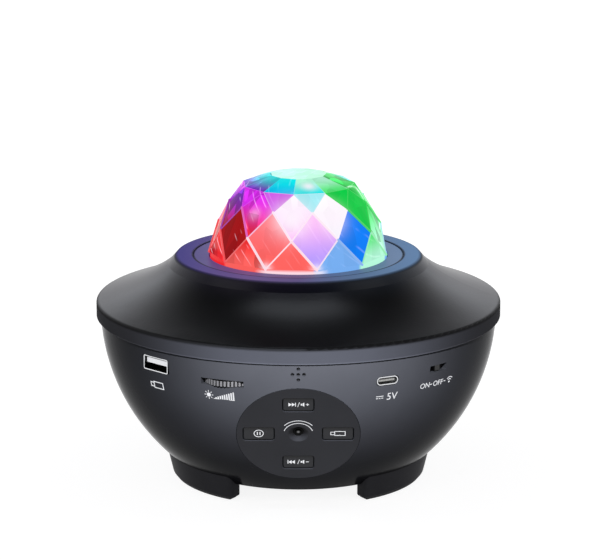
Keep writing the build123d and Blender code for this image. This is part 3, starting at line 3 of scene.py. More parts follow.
import bpy
import numpy as np
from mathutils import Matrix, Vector


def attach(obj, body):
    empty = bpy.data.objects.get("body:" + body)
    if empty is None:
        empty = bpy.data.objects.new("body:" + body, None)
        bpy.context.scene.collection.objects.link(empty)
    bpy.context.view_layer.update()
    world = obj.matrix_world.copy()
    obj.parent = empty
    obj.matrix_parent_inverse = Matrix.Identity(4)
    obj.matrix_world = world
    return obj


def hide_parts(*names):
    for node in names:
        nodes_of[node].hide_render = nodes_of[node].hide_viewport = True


# A star night light projector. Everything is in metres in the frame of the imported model:
# +Z up, the control panel faces -Y, angles are counted from the front towards +X.
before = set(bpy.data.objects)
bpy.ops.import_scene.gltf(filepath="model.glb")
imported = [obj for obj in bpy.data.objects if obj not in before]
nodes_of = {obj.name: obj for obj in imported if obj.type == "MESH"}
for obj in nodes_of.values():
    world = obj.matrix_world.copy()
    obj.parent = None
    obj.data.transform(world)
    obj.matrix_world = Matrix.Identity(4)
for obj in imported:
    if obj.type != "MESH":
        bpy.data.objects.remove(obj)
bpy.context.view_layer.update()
MM = 0.001
scene = bpy.context.scene


# ------------------------------------------------------------------ camera, light and stage
AIM = (0.000634, 0.0, 0.0778)
DISTANCE = 1.2
ELEVATION = math.radians(13.63)
LENS = 181.74

camera_data = bpy.data.cameras.new("camera")
camera_data.sensor_width = 36.0
camera_data.lens = LENS
camera_data.clip_start = 0.05
camera_data.clip_end = 50.0
camera = bpy.data.objects.new("camera", camera_data)
scene.collection.objects.link(camera)
camera.location = (
    AIM[0],
    AIM[1] - DISTANCE * math.cos(ELEVATION),
    AIM[2] + DISTANCE * math.sin(ELEVATION),
)
camera.rotation_euler = (math.pi / 2 - ELEVATION, 0, 0)
scene.camera = camera
scene.view_settings.view_transform = "Standard"
scene.view_settings.look = "None"


WHITE = (1.0, 1.0, 1.0)
COOL = (0.86, 0.91, 1.0)
COVER = ("top_cover",)
BUTTONS = ("next_button", "previous_button", "pause_button", "mode_button")
# Name, place, aim, size, power, colour, and the nodes that the lamp lights if not all.
AREA_LIGHTS = (
    ("key_left", (-1.2, -0.1, 1.5), (0, 0, 0), (0.9, 0.9), 3.0, WHITE, ()),
    ("key_right", (1.2, -0.1, 1.5), (0, 0, 0), (0.9, 0.9), 3.0, WHITE, ()),
    ("rear_left", (-0.75, 1.75, 0.75), (0, 0, 0.07), (0.5, 0.5), 0.78, COOL, COVER),
    ("rear_right", (0.75, 1.75, 0.75), (0, 0, 0.07), (0.5, 0.5), 0.78, COOL, COVER),
    ("cover_sheen", (0.0, 0.25, 1.48), (0, -0.05, 0.07), (0.75, 0.44), 4.3, COOL, COVER),
    ("rear_soft", (0.0, 1.7, 1.12), (0, 0, 0.07), (0.9, 0.30), 2.7, COOL, COVER),
    (
        "panel_soft", (0.0, -0.85, 0.95), (0, 0, 0.05), (0.45, 0.3), 78.0, COOL,
        ("control_panel", *BUTTONS),
    ),
)
# Name, place, aim, reach of the light round aim, power, colour, nodes that the lamp lights, and
# the nodes that throw its shadow if not all. The cover's edge is lit from below, so that its
# slope stays dark.
SPOT_LIGHTS = (
    (
        "skirt_spot", (0.003, -0.75, -0.55), (0.003, -0.078, 0.066), 0.068, 360.0, COOL,
        COVER, COVER,
    ),
    (
        "bowl_spot", (0.005, -1.10, 0.74), (0.005, -0.076, 0.058), 0.071, 1060.0, WHITE,
        ("lower_bowl", "brightness_wheel"), (),
    ),
)
SPOT_SOFTNESS = 0.02


def aimed_lamp(kind, name, place, aim, power, colour):
    """A lamp at a place, turned to aim."""
    data = bpy.data.lights.new(name, kind)
    data.energy = power
    data.color = colour
    lamp = bpy.data.objects.new(name, data)
    scene.collection.objects.link(lamp)
    lamp.location = place
    lamp.rotation_euler = (Vector(aim) - Vector(place)).to_track_quat("-Z", "Y").to_euler()
    return lamp


def node_group(name, names):
    """A collection of named nodes that a lamp can be linked to."""
    group = bpy.data.collections.new(name)
    for node_name in names:
        group.objects.link(nodes_of[node_name])
    return group


def link_light(lamp, lit, blockers=()):
    """Lets a lamp light only the named nodes, and only the blockers throw its shadow."""
    lamp.light_linking.receiver_collection = node_group(lamp.name + "_lit", lit)
    if blockers:
        lamp.light_linking.blocker_collection = node_group(lamp.name + "_shading", blockers)


for name, place, aim, size, power, colour, lit in AREA_LIGHTS:
    lamp = aimed_lamp("AREA", name, place, aim, power, colour)
    lamp.data.shape = "RECTANGLE"
    lamp.data.size, lamp.data.size_y = size
    if lit:
        link_light(lamp, lit)
for name, place, aim, reach, power, colour, lit, blockers in SPOT_LIGHTS:
    lamp = aimed_lamp("SPOT", name, place, aim, power, colour)
    lamp.data.shadow_soft_size = SPOT_SOFTNESS
    lamp.data.spot_size = 2 * math.atan(reach / (Vector(aim) - Vector(place)).length)
    lamp.data.spot_blend = 1.0
    link_light(lamp, lit, blockers)


def fill_ramp(bar, stops):
    """Gives a colour ramp its (position, colour) stops."""
    while len(bar.elements) < len(stops):
        bar.elements.new(0.5)
    for element, (position, colour) in zip(bar.elements, stops):
        element.position = position
        element.color = (*colour, 1)


# The sky is bright from the horizon to half its height and dark above: height, brightness.
SKY = ((0.0, 1.0), (0.50, 1.0), (0.60, 0.50), (0.67, 0.15), (0.76, 0.04), (1.0, 0.03))
SKY_BLUE = 1.04
world = bpy.data.worlds.new("studio")
scene.world = world
world.use_nodes = True
sky = world.node_tree
sky.nodes.clear()
sky_place, sky_parts, sky_ramp, sky_back, sky_out = (
    sky.nodes.new("ShaderNode" + kind)
    for kind in ("TexCoord", "SeparateXYZ", "ValToRGB", "Background", "OutputWorld")
)
sky.links.new(sky_place.outputs["Generated"], sky_parts.inputs[0])
sky.links.new(sky_parts.outputs["Z"], sky_ramp.inputs["Fac"])
sky.links.new(sky_ramp.outputs["Color"], sky_back.inputs["Color"])
sky.links.new(sky_back.outputs[0], sky_out.inputs["Surface"])
fill_ramp(sky_ramp.color_ramp, [(height, (tone, tone, tone * SKY_BLUE)) for height, tone in SKY])


# ------------------------------------------------------------------ places on the bowl, in mm
# The bowl is part of a sphere, and the panel lies on a chord between two heights on its front.
BOWL_RADIUS = 78.4
BOWL_CENTRE = 68.4
PANEL_LOW = 13.2
PANEL_HIGH = 54.7
low_radius = math.sqrt(BOWL_RADIUS**2 - (PANEL_LOW - BOWL_CENTRE) ** 2)
high_radius = math.sqrt(BOWL_RADIUS**2 - (PANEL_HIGH - BOWL_CENTRE) ** 2)
TILT = math.atan2(high_radius - low_radius, PANEL_HIGH - PANEL_LOW)
PANEL_MIDDLE = np.array([0, -(low_radius + high_radius) / 2, (PANEL_LOW + PANEL_HIGH) / 2])
PANEL_OUT = np.array([0, -math.cos(TILT), -math.sin(TILT)])
PANEL_UP = np.array([0, -math.sin(TILT), math.cos(TILT)])
UPWARDS = (0, 0, 1)
WHEEL_AXIS = (-25.447, -63.622, 0)
# The USB-A socket's way out of the bowl, and its mouth's distance from the middle.
SOCKET_TURN = math.radians(-44.5)
SOCKET_OUT = np.array([math.sin(SOCKET_TURN), -math.cos(SOCKET_TURN), 0])
SOCKET_MOUTH = 77.38


# ------------------------------------------------------------------ materials
def grey(level):
    """Colour with three equal parts."""
    return (level, level, level)


class Finish:
    """A node tree that ends in one Principled shader."""

    def __init__(self, name, colour, rough, metallic=0.0, level=0.5):
        self.material = bpy.data.materials.new(name)
        self.material.use_nodes = True
        self.tree = self.material.node_tree
        self.tree.nodes.clear()
        self.shader = self.add("BsdfPrincipled")
        self.add("OutputMaterial", {"Surface": self.shader.outputs[0]})
        self.place = self.add("TexCoord").outputs["Object"]
        self.set("Base Color", (*colour, 1))
        self.set("Roughness", rough)
        self.set("Metallic", metallic)
        self.set("Specular IOR Level", level)

    def add(self, kind, inputs=None, **settings):
        """A node with its settings, and its inputs by name or number."""
        node = self.tree.nodes.new("ShaderNode" + kind)
        for key, value in settings.items():
            setattr(node, key, value)
        for key, value in (inputs or {}).items():
            self.feed(node.inputs[key], value)
        return node

    def feed(self, target, value):
        """Links an input to another node's output, or sets it to a value."""
        if isinstance(value, bpy.types.NodeSocket):
            self.tree.links.new(value, target)
        else:
            target.default_value = value

    def set(self, name, value):
        """Feeds one input of the shader."""
        self.feed(self.shader.inputs[name], value)

    def glow(self, colour, strength):
        """Emission of a colour and strength."""
        self.set("Emission Color", colour)
        self.set("Emission Strength", strength)

    def noise(self, scale, detail=3.0, rough=0.5, stretch=(1, 1, 1)):
        """Noise on object coordinates, scale in cells per metre."""
        place = self.add("Mapping", {"Scale": stretch, "Vector": self.place}).outputs[0]
        inputs = {"Scale": scale, "Detail": detail, "Roughness": rough, "Vector": place}
        return self.add("TexNoise", inputs).outputs["Fac"]

    def ramp(self, source, stops):
        """Colour ramp with (position, colour) stops."""
        node = self.add("ValToRGB", {"Fac": source})
        fill_ramp(node.color_ramp, stops)
        return node.outputs["Color"]

    def spread(self, source, low, high, start=0.0, end=1.0):
        """Maps start..end of a value to low..high."""
        limits = {"From Min": start, "From Max": end, "To Min": low, "To Max": high}
        return self.add("MapRange", {"Value": source, **limits}).outputs[0]

    def math(self, kind, first, second):
        """One operation on two values."""
        return self.add("Math", {0: first, 1: second}, operation=kind).outputs[0]

    def mix(self, kind, factor, first, second):
        """Two colours, the second laid over the first by a factor."""
        inputs = {0: factor, 6: first, 7: second}
        return self.add("Mix", inputs, data_type="RGBA", blend_type=kind).outputs[2]

    def axis(self, name):
        """One of the object coordinates, in metres."""
        return self.add("SeparateXYZ", {0: self.place}).outputs[name]

    def vector(self, kind, first, second=(0, 0, 0)):
        """Node with a vector operation on an output and a fixed vector."""
        return self.add("VectorMath", {0: first, 1: tuple(second)}, operation=kind)

    def away(self, origin):
        """Object coordinates in mm, counted from origin."""
        scaled = self.add("VectorMath", {0: self.place, "Scale": 1 / MM}, operation="SCALE")
        return self.vector("SUBTRACT", scaled.outputs[0], origin).outputs[0]

    def from_line(self, origin, way):
        """Distance in mm from a line through origin that runs along way."""
        across = self.vector("CROSS_PRODUCT", self.away(origin), way).outputs[0]
        return self.vector("LENGTH", across).outputs["Value"]

    def behind(self, origin, way):
        """Depth in mm behind a plane through origin that faces way."""
        return self.vector("DOT_PRODUCT", self.away(origin), -np.array(way)).outputs["Value"]

    def shaded(self, distance, stops, start, end):
        """Base colour that changes with a distance between start and end."""
        self.set("Base Color", self.ramp(self.spread(distance, 0.0, 1.0, start, end), stops))

    def by_height(self, stops, low, high):
        """Base colour that changes with the height in metres, slightly mottled."""
        tone = self.ramp(self.spread(self.axis("Z"), 0.0, 1.0, low, high), stops)
        uneven = self.ramp(self.noise(PATCHES, 4.0, 0.6), [(0.3, grey(0.9)), (0.7, grey(1.0))])
        self.set("Base Color", self.mix("MULTIPLY", 1.0, tone, uneven))

    def bump(self, height, depth, strength=1.0):
        """Relief from a height, depth in metres."""
        inputs = {"Distance": depth, "Strength": strength, "Height": height}
        self.set("Normal", self.add("Bump", inputs).outputs[0])

    def mottle(self, colour, amount, scale):
        """Slow colour variation round a base colour."""
        dark = tuple(c * (1 - amount) for c in colour)
        light = tuple(min(1, c * (1 + amount)) for c in colour)
        self.set("Base Color", self.ramp(self.noise(scale, 4.0, 0.6), [(0.3, dark), (0.7, light)]))


# Cells per metre of the moulding's slow patches and of its fine grain, and the grain's depth.
PATCHES = 45.0
GRAIN = 900.0
GRAIN_DEPTH = 0.00002


def moulded(name, colour, rough, grain=GRAIN, depth=GRAIN_DEPTH, amount=0.12, level=0.5):
    """Moulded plastic: fine spark-eroded grain, slightly uneven gloss and, unless the amount is
    zero, uneven tone."""
    made = Finish(name, colour, rough, level=level)
    if amount:
        made.mottle(colour, amount, PATCHES)
    made.set("Roughness", made.spread(made.noise(120.0, 4.0), rough - 0.05, rough + 0.05))
    made.bump(made.noise(grain, 2.0), depth)
    return made


def metal(name, colour, rough, stretch=(1, 1, 12), amount=0.1):
    """Rolled or turned metal: fine lines along one way."""
    made = Finish(name, colour, rough, 1.0)
    if amount:
        made.mottle(colour, amount, 80.0)
    lines = made.noise(700.0, 3.0, 0.6, stretch)
    made.set("Roughness", made.spread(lines, rough - 0.08, rough + 0.12))
    made.bump(lines, 0.00001)
    return made


# Where the dome's light fades on the cover: radii in mm, heights in metres.
GROOVE_RADII = (40.8, 42.4)
PLATEAU_RADII = (47.4, 49.0)
PLATEAU_HEIGHTS = (0.0866, 0.0886)
NECK_RADII = (47.0, 58.0)
NECK_HEIGHTS = (0.0790, 0.0886)
NECK_GLOW = 0.045
GLOW_SIDE = 0.046


def glow_spill(finish):
    """Violet and blue light from the dome on the cover round it: full on the plateau, dim in the
    groove round the ring, and fading down the neck."""
    radius = finish.from_line((0, 0, 0), UPWARDS)
    height = finish.axis("Z")
    near = finish.spread(radius, 1.0, 0.0, *PLATEAU_RADII)
    high = finish.math("POWER", finish.spread(height, 0.0, 1.0, *PLATEAU_HEIGHTS), 2.0)
    groove = finish.ramp(
        finish.spread(radius, 0.0, 1.0, *GROOVE_RADII),
        [(0.0, grey(1.0)), (0.3, grey(0.15)), (0.7, grey(0.15)), (1.0, grey(1.0))],
    )
    plateau = finish.math("MULTIPLY", finish.math("MULTIPLY", near, groove), high)
    neck = finish.math(
        "MULTIPLY",
        finish.spread(height, 0.0, NECK_GLOW, *NECK_HEIGHTS),
        finish.spread(radius, 1.0, 0.0, *NECK_RADII),
    )
    tone = finish.ramp(
        finish.spread(finish.axis("X"), 0.0, 1.0, -GLOW_SIDE, GLOW_SIDE),
        [
            (0.0, (0.035, 0.025, 0.19)),
            (0.29, (0.120, 0.080, 0.235)),
            (0.5, (0.085, 0.075, 0.205)),
            (0.7, (0.085, 0.135, 0.245)),
            (1.0, (0.090, 0.185, 0.35)),
        ],
    )
    finish.glow(tone, finish.math("MAXIMUM", plateau, neck))


BLACK = (0.0109, 0.0114, 0.0136)
# Black of the cover's edge, painted lighter than the slope as painted light.
SKIRT_PAINTED_LIGHTER = (0.014, 0.0142, 0.0170)
DEEP_BLACK = (0.0022, 0.0022, 0.0028)
PART_BLACK = (0.006, 0.006, 0.0065)
PLATED = (0.80, 0.81, 0.83)
COVER_SATIN = 0.28

# The cover's edge is matt and painted a little lighter than its slope, painted light that stands in
# for the light falling on the edge; its slope is satin and its plateau in between.
cover_black = Finish("cover_black_satin", DEEP_BLACK, COVER_SATIN, level=0.13)
cover_black.bump(cover_black.noise(GRAIN, 2.0), GRAIN_DEPTH)
cover_black.by_height([(0.0, SKIRT_PAINTED_LIGHTER), (1.0, DEEP_BLACK)], 0.0694, 0.0702)
cover_rough = cover_black.ramp(
    cover_black.spread(cover_black.axis("Z"), 0.0, 1.0, 0.0640, 0.0890),
    [(0.245, grey(1.0)), (0.295, grey(COVER_SATIN)), (0.94, grey(COVER_SATIN)), (0.97, grey(0.7))],
)
cover_black.set("Roughness", cover_rough)
glow_spill(cover_black)
ring_black = moulded("ring_black_satin", (0.005, 0.005, 0.009), 0.45, level=0.12)
glow_spill(ring_black)
bowl_black = moulded("bowl_black_satin", BLACK, 0.16, amount=0, level=0.0105)
# The bowl's colour is painted darker towards the bottom, painted shade where the front light falls
# off downwards.
bowl_black.by_height(
    [
        (0.0, (0.0025, 0.0025, 0.0030)),
        (0.22, (0.0026, 0.0027, 0.0032)),
        (0.45, (0.0056, 0.0058, 0.0070)),
        (0.72, (0.0092, 0.0097, 0.0116)),
        (1.0, BLACK),
    ],
    0.006,
    0.0645,
)
foot_black = moulded("foot_black_satin", (0.0165, 0.0165, 0.0185), 0.4, level=0.010)
panel_grey = moulded("panel_dark_matt", (0.0105, 0.0105, 0.0120), 0.62, 1400.0, level=0.12)
button_black = moulded("button_black_matt", (0.0068, 0.0069, 0.0079), 0.5, 1600.0, level=0.25)
# The wheel's notches are painted darker and the edge between them lighter: painted shade in the
# notches and painted light on the ridges.
wheel_black = moulded("wheel_black", PART_BLACK, 0.42, 1800.0, amount=0, level=0.12)
wheel_black.shaded(
    wheel_black.from_line(WHEEL_AXIS, UPWARDS),
    [(0.0, (0.0004, 0.0004, 0.0005)), (0.55, (0.003, 0.003, 0.0033)), (1.0, (0.024, 0.024, 0.026))],
    9.7,
    9.98,
)
slider_black = moulded("slider_black", PART_BLACK, 0.42, 1800.0, level=0.4)
pad_rubber = moulded("pad_rubber", grey(0.02), 0.85, 2500.0, 0.00003, level=0.3)
white_plastic = moulded("white_nylon", (0.78, 0.79, 0.80), 0.45, 1500.0, amount=0.04)
tongue_white = moulded("tongue_white", (0.85, 0.86, 0.88), 0.35, 1500.0, amount=0.03)
chip_black = moulded("component_black", (0.02, 0.02, 0.022), 0.5, 2000.0)
chassis_grey = moulded("chassis_grey", (0.42, 0.43, 0.45), 0.5, 1100.0, amount=0.05)
inlet_grey = moulded("inlet_tongue_grey", (0.42, 0.42, 0.40), 0.35, 1500.0, amount=0.05)
connector_black = moulded("connector_black", (0.012, 0.012, 0.013), 0.4, 2000.0)
paper_cone = moulded("cone_paper", (0.045, 0.042, 0.04), 0.9, 3000.0, 0.00008, level=0.1)
lead_jacket = moulded("lead_jacket", (0.35, 0.04, 0.03), 0.45, 2500.0)
# The dark window has a painted glint: a lighter spot in its middle, where the receiver's lens is.
window_dark = moulded(
    "dark_filter", (0.012, 0.006, 0.010), 0.08, 400.0, 0.000002, amount=0, level=0.05
)
window_dark.shaded(
    window_dark.from_line(PANEL_MIDDLE + 0.15 * PANEL_UP, PANEL_OUT),
    [(0.0, grey(0.20)), (0.35, grey(0.12)), (0.55, grey(0.002)), (1.0, grey(0.001))],
    0.0,
    1.25,
)
board_green = moulded("board_green", (0.012, 0.085, 0.035), 0.38, 1500.0, amount=0.25)
board_white = moulded("board_white", (0.75, 0.76, 0.78), 0.4, 1500.0, amount=0.05)
lens_clear = moulded("lens_clear", (0.80, 0.86, 0.92), 0.06, 300.0, 0.000002, amount=0.03)
grating_blue = moulded("grating_glass", (0.45, 0.62, 0.72), 0.08, 5000.0, 0.00001, amount=0.2)
lamp_yellow = moulded("lamp_phosphor", (0.85, 0.78, 0.35), 0.4, 2000.0, amount=0.1)
screw_steel = metal("screw_zinc", (0.50, 0.50, 0.52), 0.35)
shell_steel = metal("shell_plated", PLATED, 0.22, (12, 1, 1))
# The socket's plating is painted darker from its mouth inwards, painted shade inside the socket.
socket_steel = metal("socket_plated", PLATED, 0.22, (12, 1, 1), amount=0)
socket_steel.shaded(
    socket_steel.behind(SOCKET_OUT * SOCKET_MOUTH, SOCKET_OUT),
    [(0.0, PLATED), (0.3, (0.62, 0.62, 0.64)), (1.0, grey(0.02))],
    0.0,
    0.6,
)
speaker_steel = metal("speaker_steel", (0.10, 0.10, 0.11), 0.45)
sink_aluminium = metal("sink_aluminium", (0.72, 0.73, 0.75), 0.38)
contact_gold = metal("contact_gold", (0.83, 0.62, 0.26), 0.25)

FINISHES = {
    bowl_black: ("lower_bowl",),
    foot_black: ("base_plate",),
    cover_black: ("top_cover",),
    ring_black: ("dome_ring",),
    panel_grey: ("control_panel",),
    button_black: BUTTONS,
    wheel_black: ("brightness_wheel",),
    slider_black: ("power_switch_slider",),
    pad_rubber: ("foot_pads", "speaker_gasket", "speaker_surround"),
    screw_steel: (
        "base_screws", "cover_screws", "speaker_screws", "panel_screws", "board_screws",
        "chassis_screws", "heat_sink_screws",
    ),
    window_dark: ("receiver_window", "infrared_receiver"),
    board_green: ("button_board", "main_board"),
    board_white: ("led_board",),
    chip_black: ("board_components", "tact_switches", "power_switch_body", "potentiometer"),
    shell_steel: ("usb_c_shell", "drive_motor"),
    socket_steel: ("usb_a_shell",),
    tongue_white: ("usb_a_tongue",),
    inlet_grey: ("usb_c_tongue",),
    connector_black: ("microphone",),
    white_plastic: ("disc_retainer", "grating_gear", "motor_pinion"),
    contact_gold: ("usb_a_contacts", "laser_module"),
    speaker_steel: ("speaker_basket", "speaker_magnet"),
    paper_cone: ("speaker_cone",),
    chassis_grey: ("optical_chassis",),
    lamp_yellow: ("led_lamps",),
    lens_clear: ("led_lenses", "ripple_disc"),
    grating_blue: ("star_grating",),
    sink_aluminium: ("heat_sink",),
    lead_jacket: ("speaker_lead", "lamp_lead", "panel_lead"),
}
for finish, names in FINISHES.items():
    for name in names:
        materials = nodes_of[name].data.materials
        materials.clear()
        materials.append(finish.material)


# ------------------------------------------------------------------ meshes from arrays
WELD = 0.002 * MM


def mesh_piece(
    name, points, faces, finish, body, smooth=True, colours=None, crease=None
):
    """One object at the origin from points and faces. Points that fall together are welded, each
    face's corners keep the colour of their own point, and edges sharper than crease stay sharp."""
    points = np.asarray(points)
    cells = np.round(points / WELD).astype(np.int64)
    _, first, joined = np.unique(cells, axis=0, return_index=True, return_inverse=True)
    joined = joined.reshape(-1)
    kept_faces, tones = [], []
    for face in faces:
        ring = [int(joined[k]) for k in face]
        keep = [i for i, k in enumerate(ring) if k != ring[i - 1]]
        if len(keep) > 2:
            kept_faces.append([ring[i] for i in keep])
            tones += [int(face[i]) for i in keep]
    mesh = bpy.data.meshes.new(name)
    mesh.from_pydata(points[first].tolist(), [], kept_faces)
    if smooth:
        mesh.polygons.foreach_set("use_smooth", np.ones(len(mesh.polygons), dtype=bool))
    if crease is not None:
        mesh.set_sharp_from_angle(angle=crease)
    if colours is not None:
        layer = mesh.color_attributes.new("light_colour", "FLOAT_COLOR", "CORNER")
        layer.data.foreach_set("color", colours[tones].ravel())
    mesh.materials.append(finish.material)
    piece = bpy.data.objects.new(name, mesh)
    scene.collection.objects.link(piece)
    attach(piece, body)
    return piece


def grid_faces(rows, columns, wrap=False):
    """Quads of a rows x columns grid of points, closed round the columns when wrap is set."""
    row, column = np.meshgrid(np.arange(rows - 1), np.arange(columns - (not wrap)), indexing="ij")
    following = (column + 1) % columns
    corners = [row * columns + column, row * columns + following]
    corners += [(row + 1) * columns + following, (row + 1) * columns + column]
    return np.stack(corners, -1).reshape(-1, 4)


# ------------------------------------------------------------------ crystal dome
FACETS = 11
STEP = 2 * math.pi / FACETS
TURN = math.radians(11.7)
PLATEAU = 88.7 * MM
LOW = (35.3, 1.3)
SECOND = (32.4, 12.0)


def kite_tip(low, side, height):
    """Radius of a flat kite's upper tip."""
    middle = side[0] * math.cos(STEP / 2)
    return (low[0] - (low[0] - middle) * (height - low[1]) / (side[1] - low[1]), height)


THIRD = kite_tip(LOW, SECOND, 22.0)
FOURTH = kite_tip(SECOND, THIRD, 28.3)
TOP = (11.0, 32.1)


def corner(ring, step):
    """Corner of one ring, counted in facet steps round the dome."""
    angle = TURN + step * STEP
    return np.array(
        [ring[0] * MM * math.sin(angle), -ring[0] * MM * math.cos(angle), PLATEAU + ring[1] * MM]
    )


def facet_corners():
    """Four corners of every facet, anticlockwise from outside; triangles repeat one corner."""
    facets = []
    for i in range(FACETS):
        low_a, low_b = corner(LOW, i), corner(LOW, i + 1)
        second_a, second_b = corner(SECOND, i - 0.5), corner(SECOND, i + 0.5)
        third_a, third_b = corner(THIRD, i), corner(THIRD, i + 1)
        fourth_a, fourth_b = corner(FOURTH, i - 0.5), corner(FOURTH, i + 0.5)
        top_a, top_b = corner(TOP, i - 0.5), corner(TOP, i + 0.5)
        facets.append((low_a, low_b, second_b, second_b))
        facets.append((low_a, second_b, third_a, second_a))
        facets.append((second_b, third_b, fourth_b, third_a))
        facets.append((third_a, fourth_b, fourth_a, fourth_a))
        facets.append((fourth_a, fourth_b, top_b, top_a))
    return np.array(facets)


# Colours of the light in the dome.
TONES = {
    "maroon": (0.40, 0.0, 0.002),
    "red": (0.84, 0.018, 0.02),
    "salmon": (0.95, 0.115, 0.105),
    "coral": (0.95, 0.17, 0.20),
    "pink": (0.93, 0.45, 0.86),
    "lilac": (0.72, 0.30, 0.93),
    "magenta": (0.66, 0.02, 0.80),
    "orchid": (0.62, 0.10, 0.78),
    "violet": (0.20, 0.01, 0.60),
    "iris": (0.40, 0.29, 0.92),
    "blue": (0.0, 0.20, 0.90),
    "sky": (0.18, 0.42, 0.87),
    "teal": (0.0, 0.48, 0.80),
    "aqua": (0.0, 0.78, 0.80),
    "ice": (0.36, 0.86, 0.93),
    "frost": (0.88, 0.86, 1.0),
    "white": (1.0, 0.90, 1.0),
    "mint": (0.46, 0.95, 0.70),
    "lime": (0.08, 0.84, 0.18),
    "green": (0.0, 0.60, 0.06),
}
# Colour at the foot and at the tip of each facet: low triangle, kite, upper kite, hanging
# triangle and crown facet, in eleven groups round the dome from its front towards +X. The last
# number says how much cut glass breaks up the light there.
GROUPS = (
    ("sky sky", "iris pink", "frost white", "ice ice", "aqua mint", 0.08),
    ("mint lime", "blue blue", "green green", "green green", "lime mint", 0.15),
    ("sky mint", "mint green", "green lime", "lime green", "green lime", 0.9),
    ("blue aqua", "green aqua", "lime aqua", "green mint", "aqua lime", 0.9),
    ("blue sky", "blue aqua", "aqua ice", "blue aqua", "aqua mint", 0.7),
    ("violet iris", "blue lilac", "frost ice", "violet blue", "blue aqua", 0.6),
    ("magenta pink", "violet magenta", "pink frost", "magenta lilac", "blue aqua", 0.7),
    ("red red", "maroon magenta", "red pink", "magenta violet", "violet aqua", 0.8),
    ("red red", "red maroon", "maroon violet", "violet magenta", "violet aqua", 0.75),
    ("salmon red", "maroon maroon", "red magenta", "magenta magenta", "violet aqua", 0.40),
    ("salmon salmon", "salmon coral", "pink white", "orchid orchid", "teal aqua", 0.10),
)
# White glare from the lamps: angle from the front in degrees, height above the plateau and
# reach in mm, strength.
GLARES = (
    (-5, 20.5, 6.8, 0.95),
    (27, 20, 5.8, 0.68),
    (14, 30.5, 2.6, 0.8),
    (-38, 21, 2.5, 0.3),
    (-21, 1.5, 2.0, 0.85),
    (11.7, 1.5, 2.0, 0.85),
)
# Height in mm of the ellipse that stands for the dome's outline.
OUTLINE_HEIGHT = 34.5
random = np.random.default_rng(11)


def glare_at(points):
    """Share of white at points: the strongest of the glares' bell curves over the distance."""
    share = np.zeros(points.shape[:-1] + (1,))
    for angle, height, reach, strength in GLARES:
        radius = LOW[0] * math.sqrt(1 - (height / OUTLINE_HEIGHT) ** 2)
        turn = math.radians(angle)
        place = np.array([radius * math.sin(turn), -radius * math.cos(turn), height])
        away = np.linalg.norm(points / MM - place - [0, 0, PLATEAU / MM], axis=-1, keepdims=True)
        share = np.maximum(share, strength * np.exp(-((away / reach) ** 2)))
    return share


# Points along a facet's side, and how far a facet's middle is raised.
PATCH = 13
BULGE = 0.35 * MM


def dome_facets():
    """All facets as bilinear patches between their corners, each raised in its middle by the
    product of two parabolas. Each facet's colour runs from its foot to its tip, with the glare's
    white over it."""
    corners = facet_corners()
    steps = np.linspace(0, 1, PATCH)
    u, v = np.meshgrid(steps, steps, indexing="ij")
    shares = np.stack([(1 - u) * (1 - v), u * (1 - v), u * v, (1 - u) * v], -1)
    points = np.einsum("uvk,fkx->fuvx", shares, corners)
    normals = np.cross(corners[:, 2] - corners[:, 0], corners[:, 3] - corners[:, 1])
    normals /= np.linalg.norm(normals, axis=-1, keepdims=True)
    bulge = BULGE * 16 * u * (1 - u) * v * (1 - v)
    points += bulge[None, ..., None] * normals[:, None, None, :]
    pairs = [pair.split() for group in GROUPS for pair in group[:5]]
    foot = np.array([TONES[pair[0]] for pair in pairs])[:, None, None, :]
    tip = np.array([TONES[pair[1]] for pair in pairs])[:, None, None, :]
    low = corners[..., 2].min(1)[:, None, None, None]
    high = corners[..., 2].max(1)[:, None, None, None]
    rise = np.clip((points[..., 2:] - low) / (high - low), 0, 1)
    rise = rise * rise * (3 - 2 * rise)
    bright = 1.0 + random.normal(0, 0.06, (len(corners), 1, 1, 1))
    colours = (foot + (tip - foot) * rise) * bright
    glare = glare_at(points)
    colours += (np.array(TONES["white"]) - colours) * glare
    broken = np.repeat([group[5] for group in GROUPS], 5)[:, None, None, None]
    return points, np.concatenate([np.clip(colours, 0, 1), broken * (1 - glare)], -1)


dome_light = Finish("dome_light", grey(0.004), 0.16, level=0.03)
light_in = dome_light.add("Attribute", attribute_name="light_colour")
# shards of different brightness, stretched upwards, where the cut glass breaks up the light
shard_place = dome_light.add(
    "Mapping", {"Rotation": (0.5, 0.35, 0), "Scale": (1, 1, 0.4), "Vector": dome_light.place}
)
shards = dome_light.add("TexVoronoi", {"Scale": 210.0, "Vector": shard_place.outputs[0]})
shard_tone = dome_light.ramp(
    shards.outputs["Color"],
    [(0.2, grey(0.35)), (0.4, grey(0.8)), (0.6, grey(1.0)), (0.75, grey(1.5))],
)
broken_light = dome_light.mix(
    "MULTIPLY", light_in.outputs["Alpha"], light_in.outputs["Color"], shard_tone
)
# thin pale streaks in patches of the same facets
streak_place = dome_light.add(
    "Mapping", {"Rotation": (0.0, 0.72, 0.25), "Vector": dome_light.place}
)
waves = {"Scale": 95.0, "Distortion": 2.2, "Detail": 1.0, "Detail Scale": 0.6}
lines = dome_light.add(
    "TexWave",
    {**waves, "Vector": streak_place.outputs[0]},
    wave_type="BANDS",
    bands_direction="X",
)
thin = dome_light.spread(lines.outputs["Fac"], 0.0, 1.0, 0.93, 1.0)
kept = dome_light.spread(dome_light.noise(90.0, 2.0), 0.0, 1.0, 0.50, 0.60)
streaks = dome_light.ramp(
    dome_light.math("MULTIPLY", thin, kept), [(0.0, grey(0.0)), (1.0, (0.75, 0.66, 0.80))]
)
dome_light.glow(dome_light.mix("ADD", light_in.outputs["Alpha"], broken_light, streaks), 1.0)
dome_light.bump(dome_light.noise(170.0, 3.0, 0.55, (3.2, 3.2, 0.45)), 0.0003, 0.3)

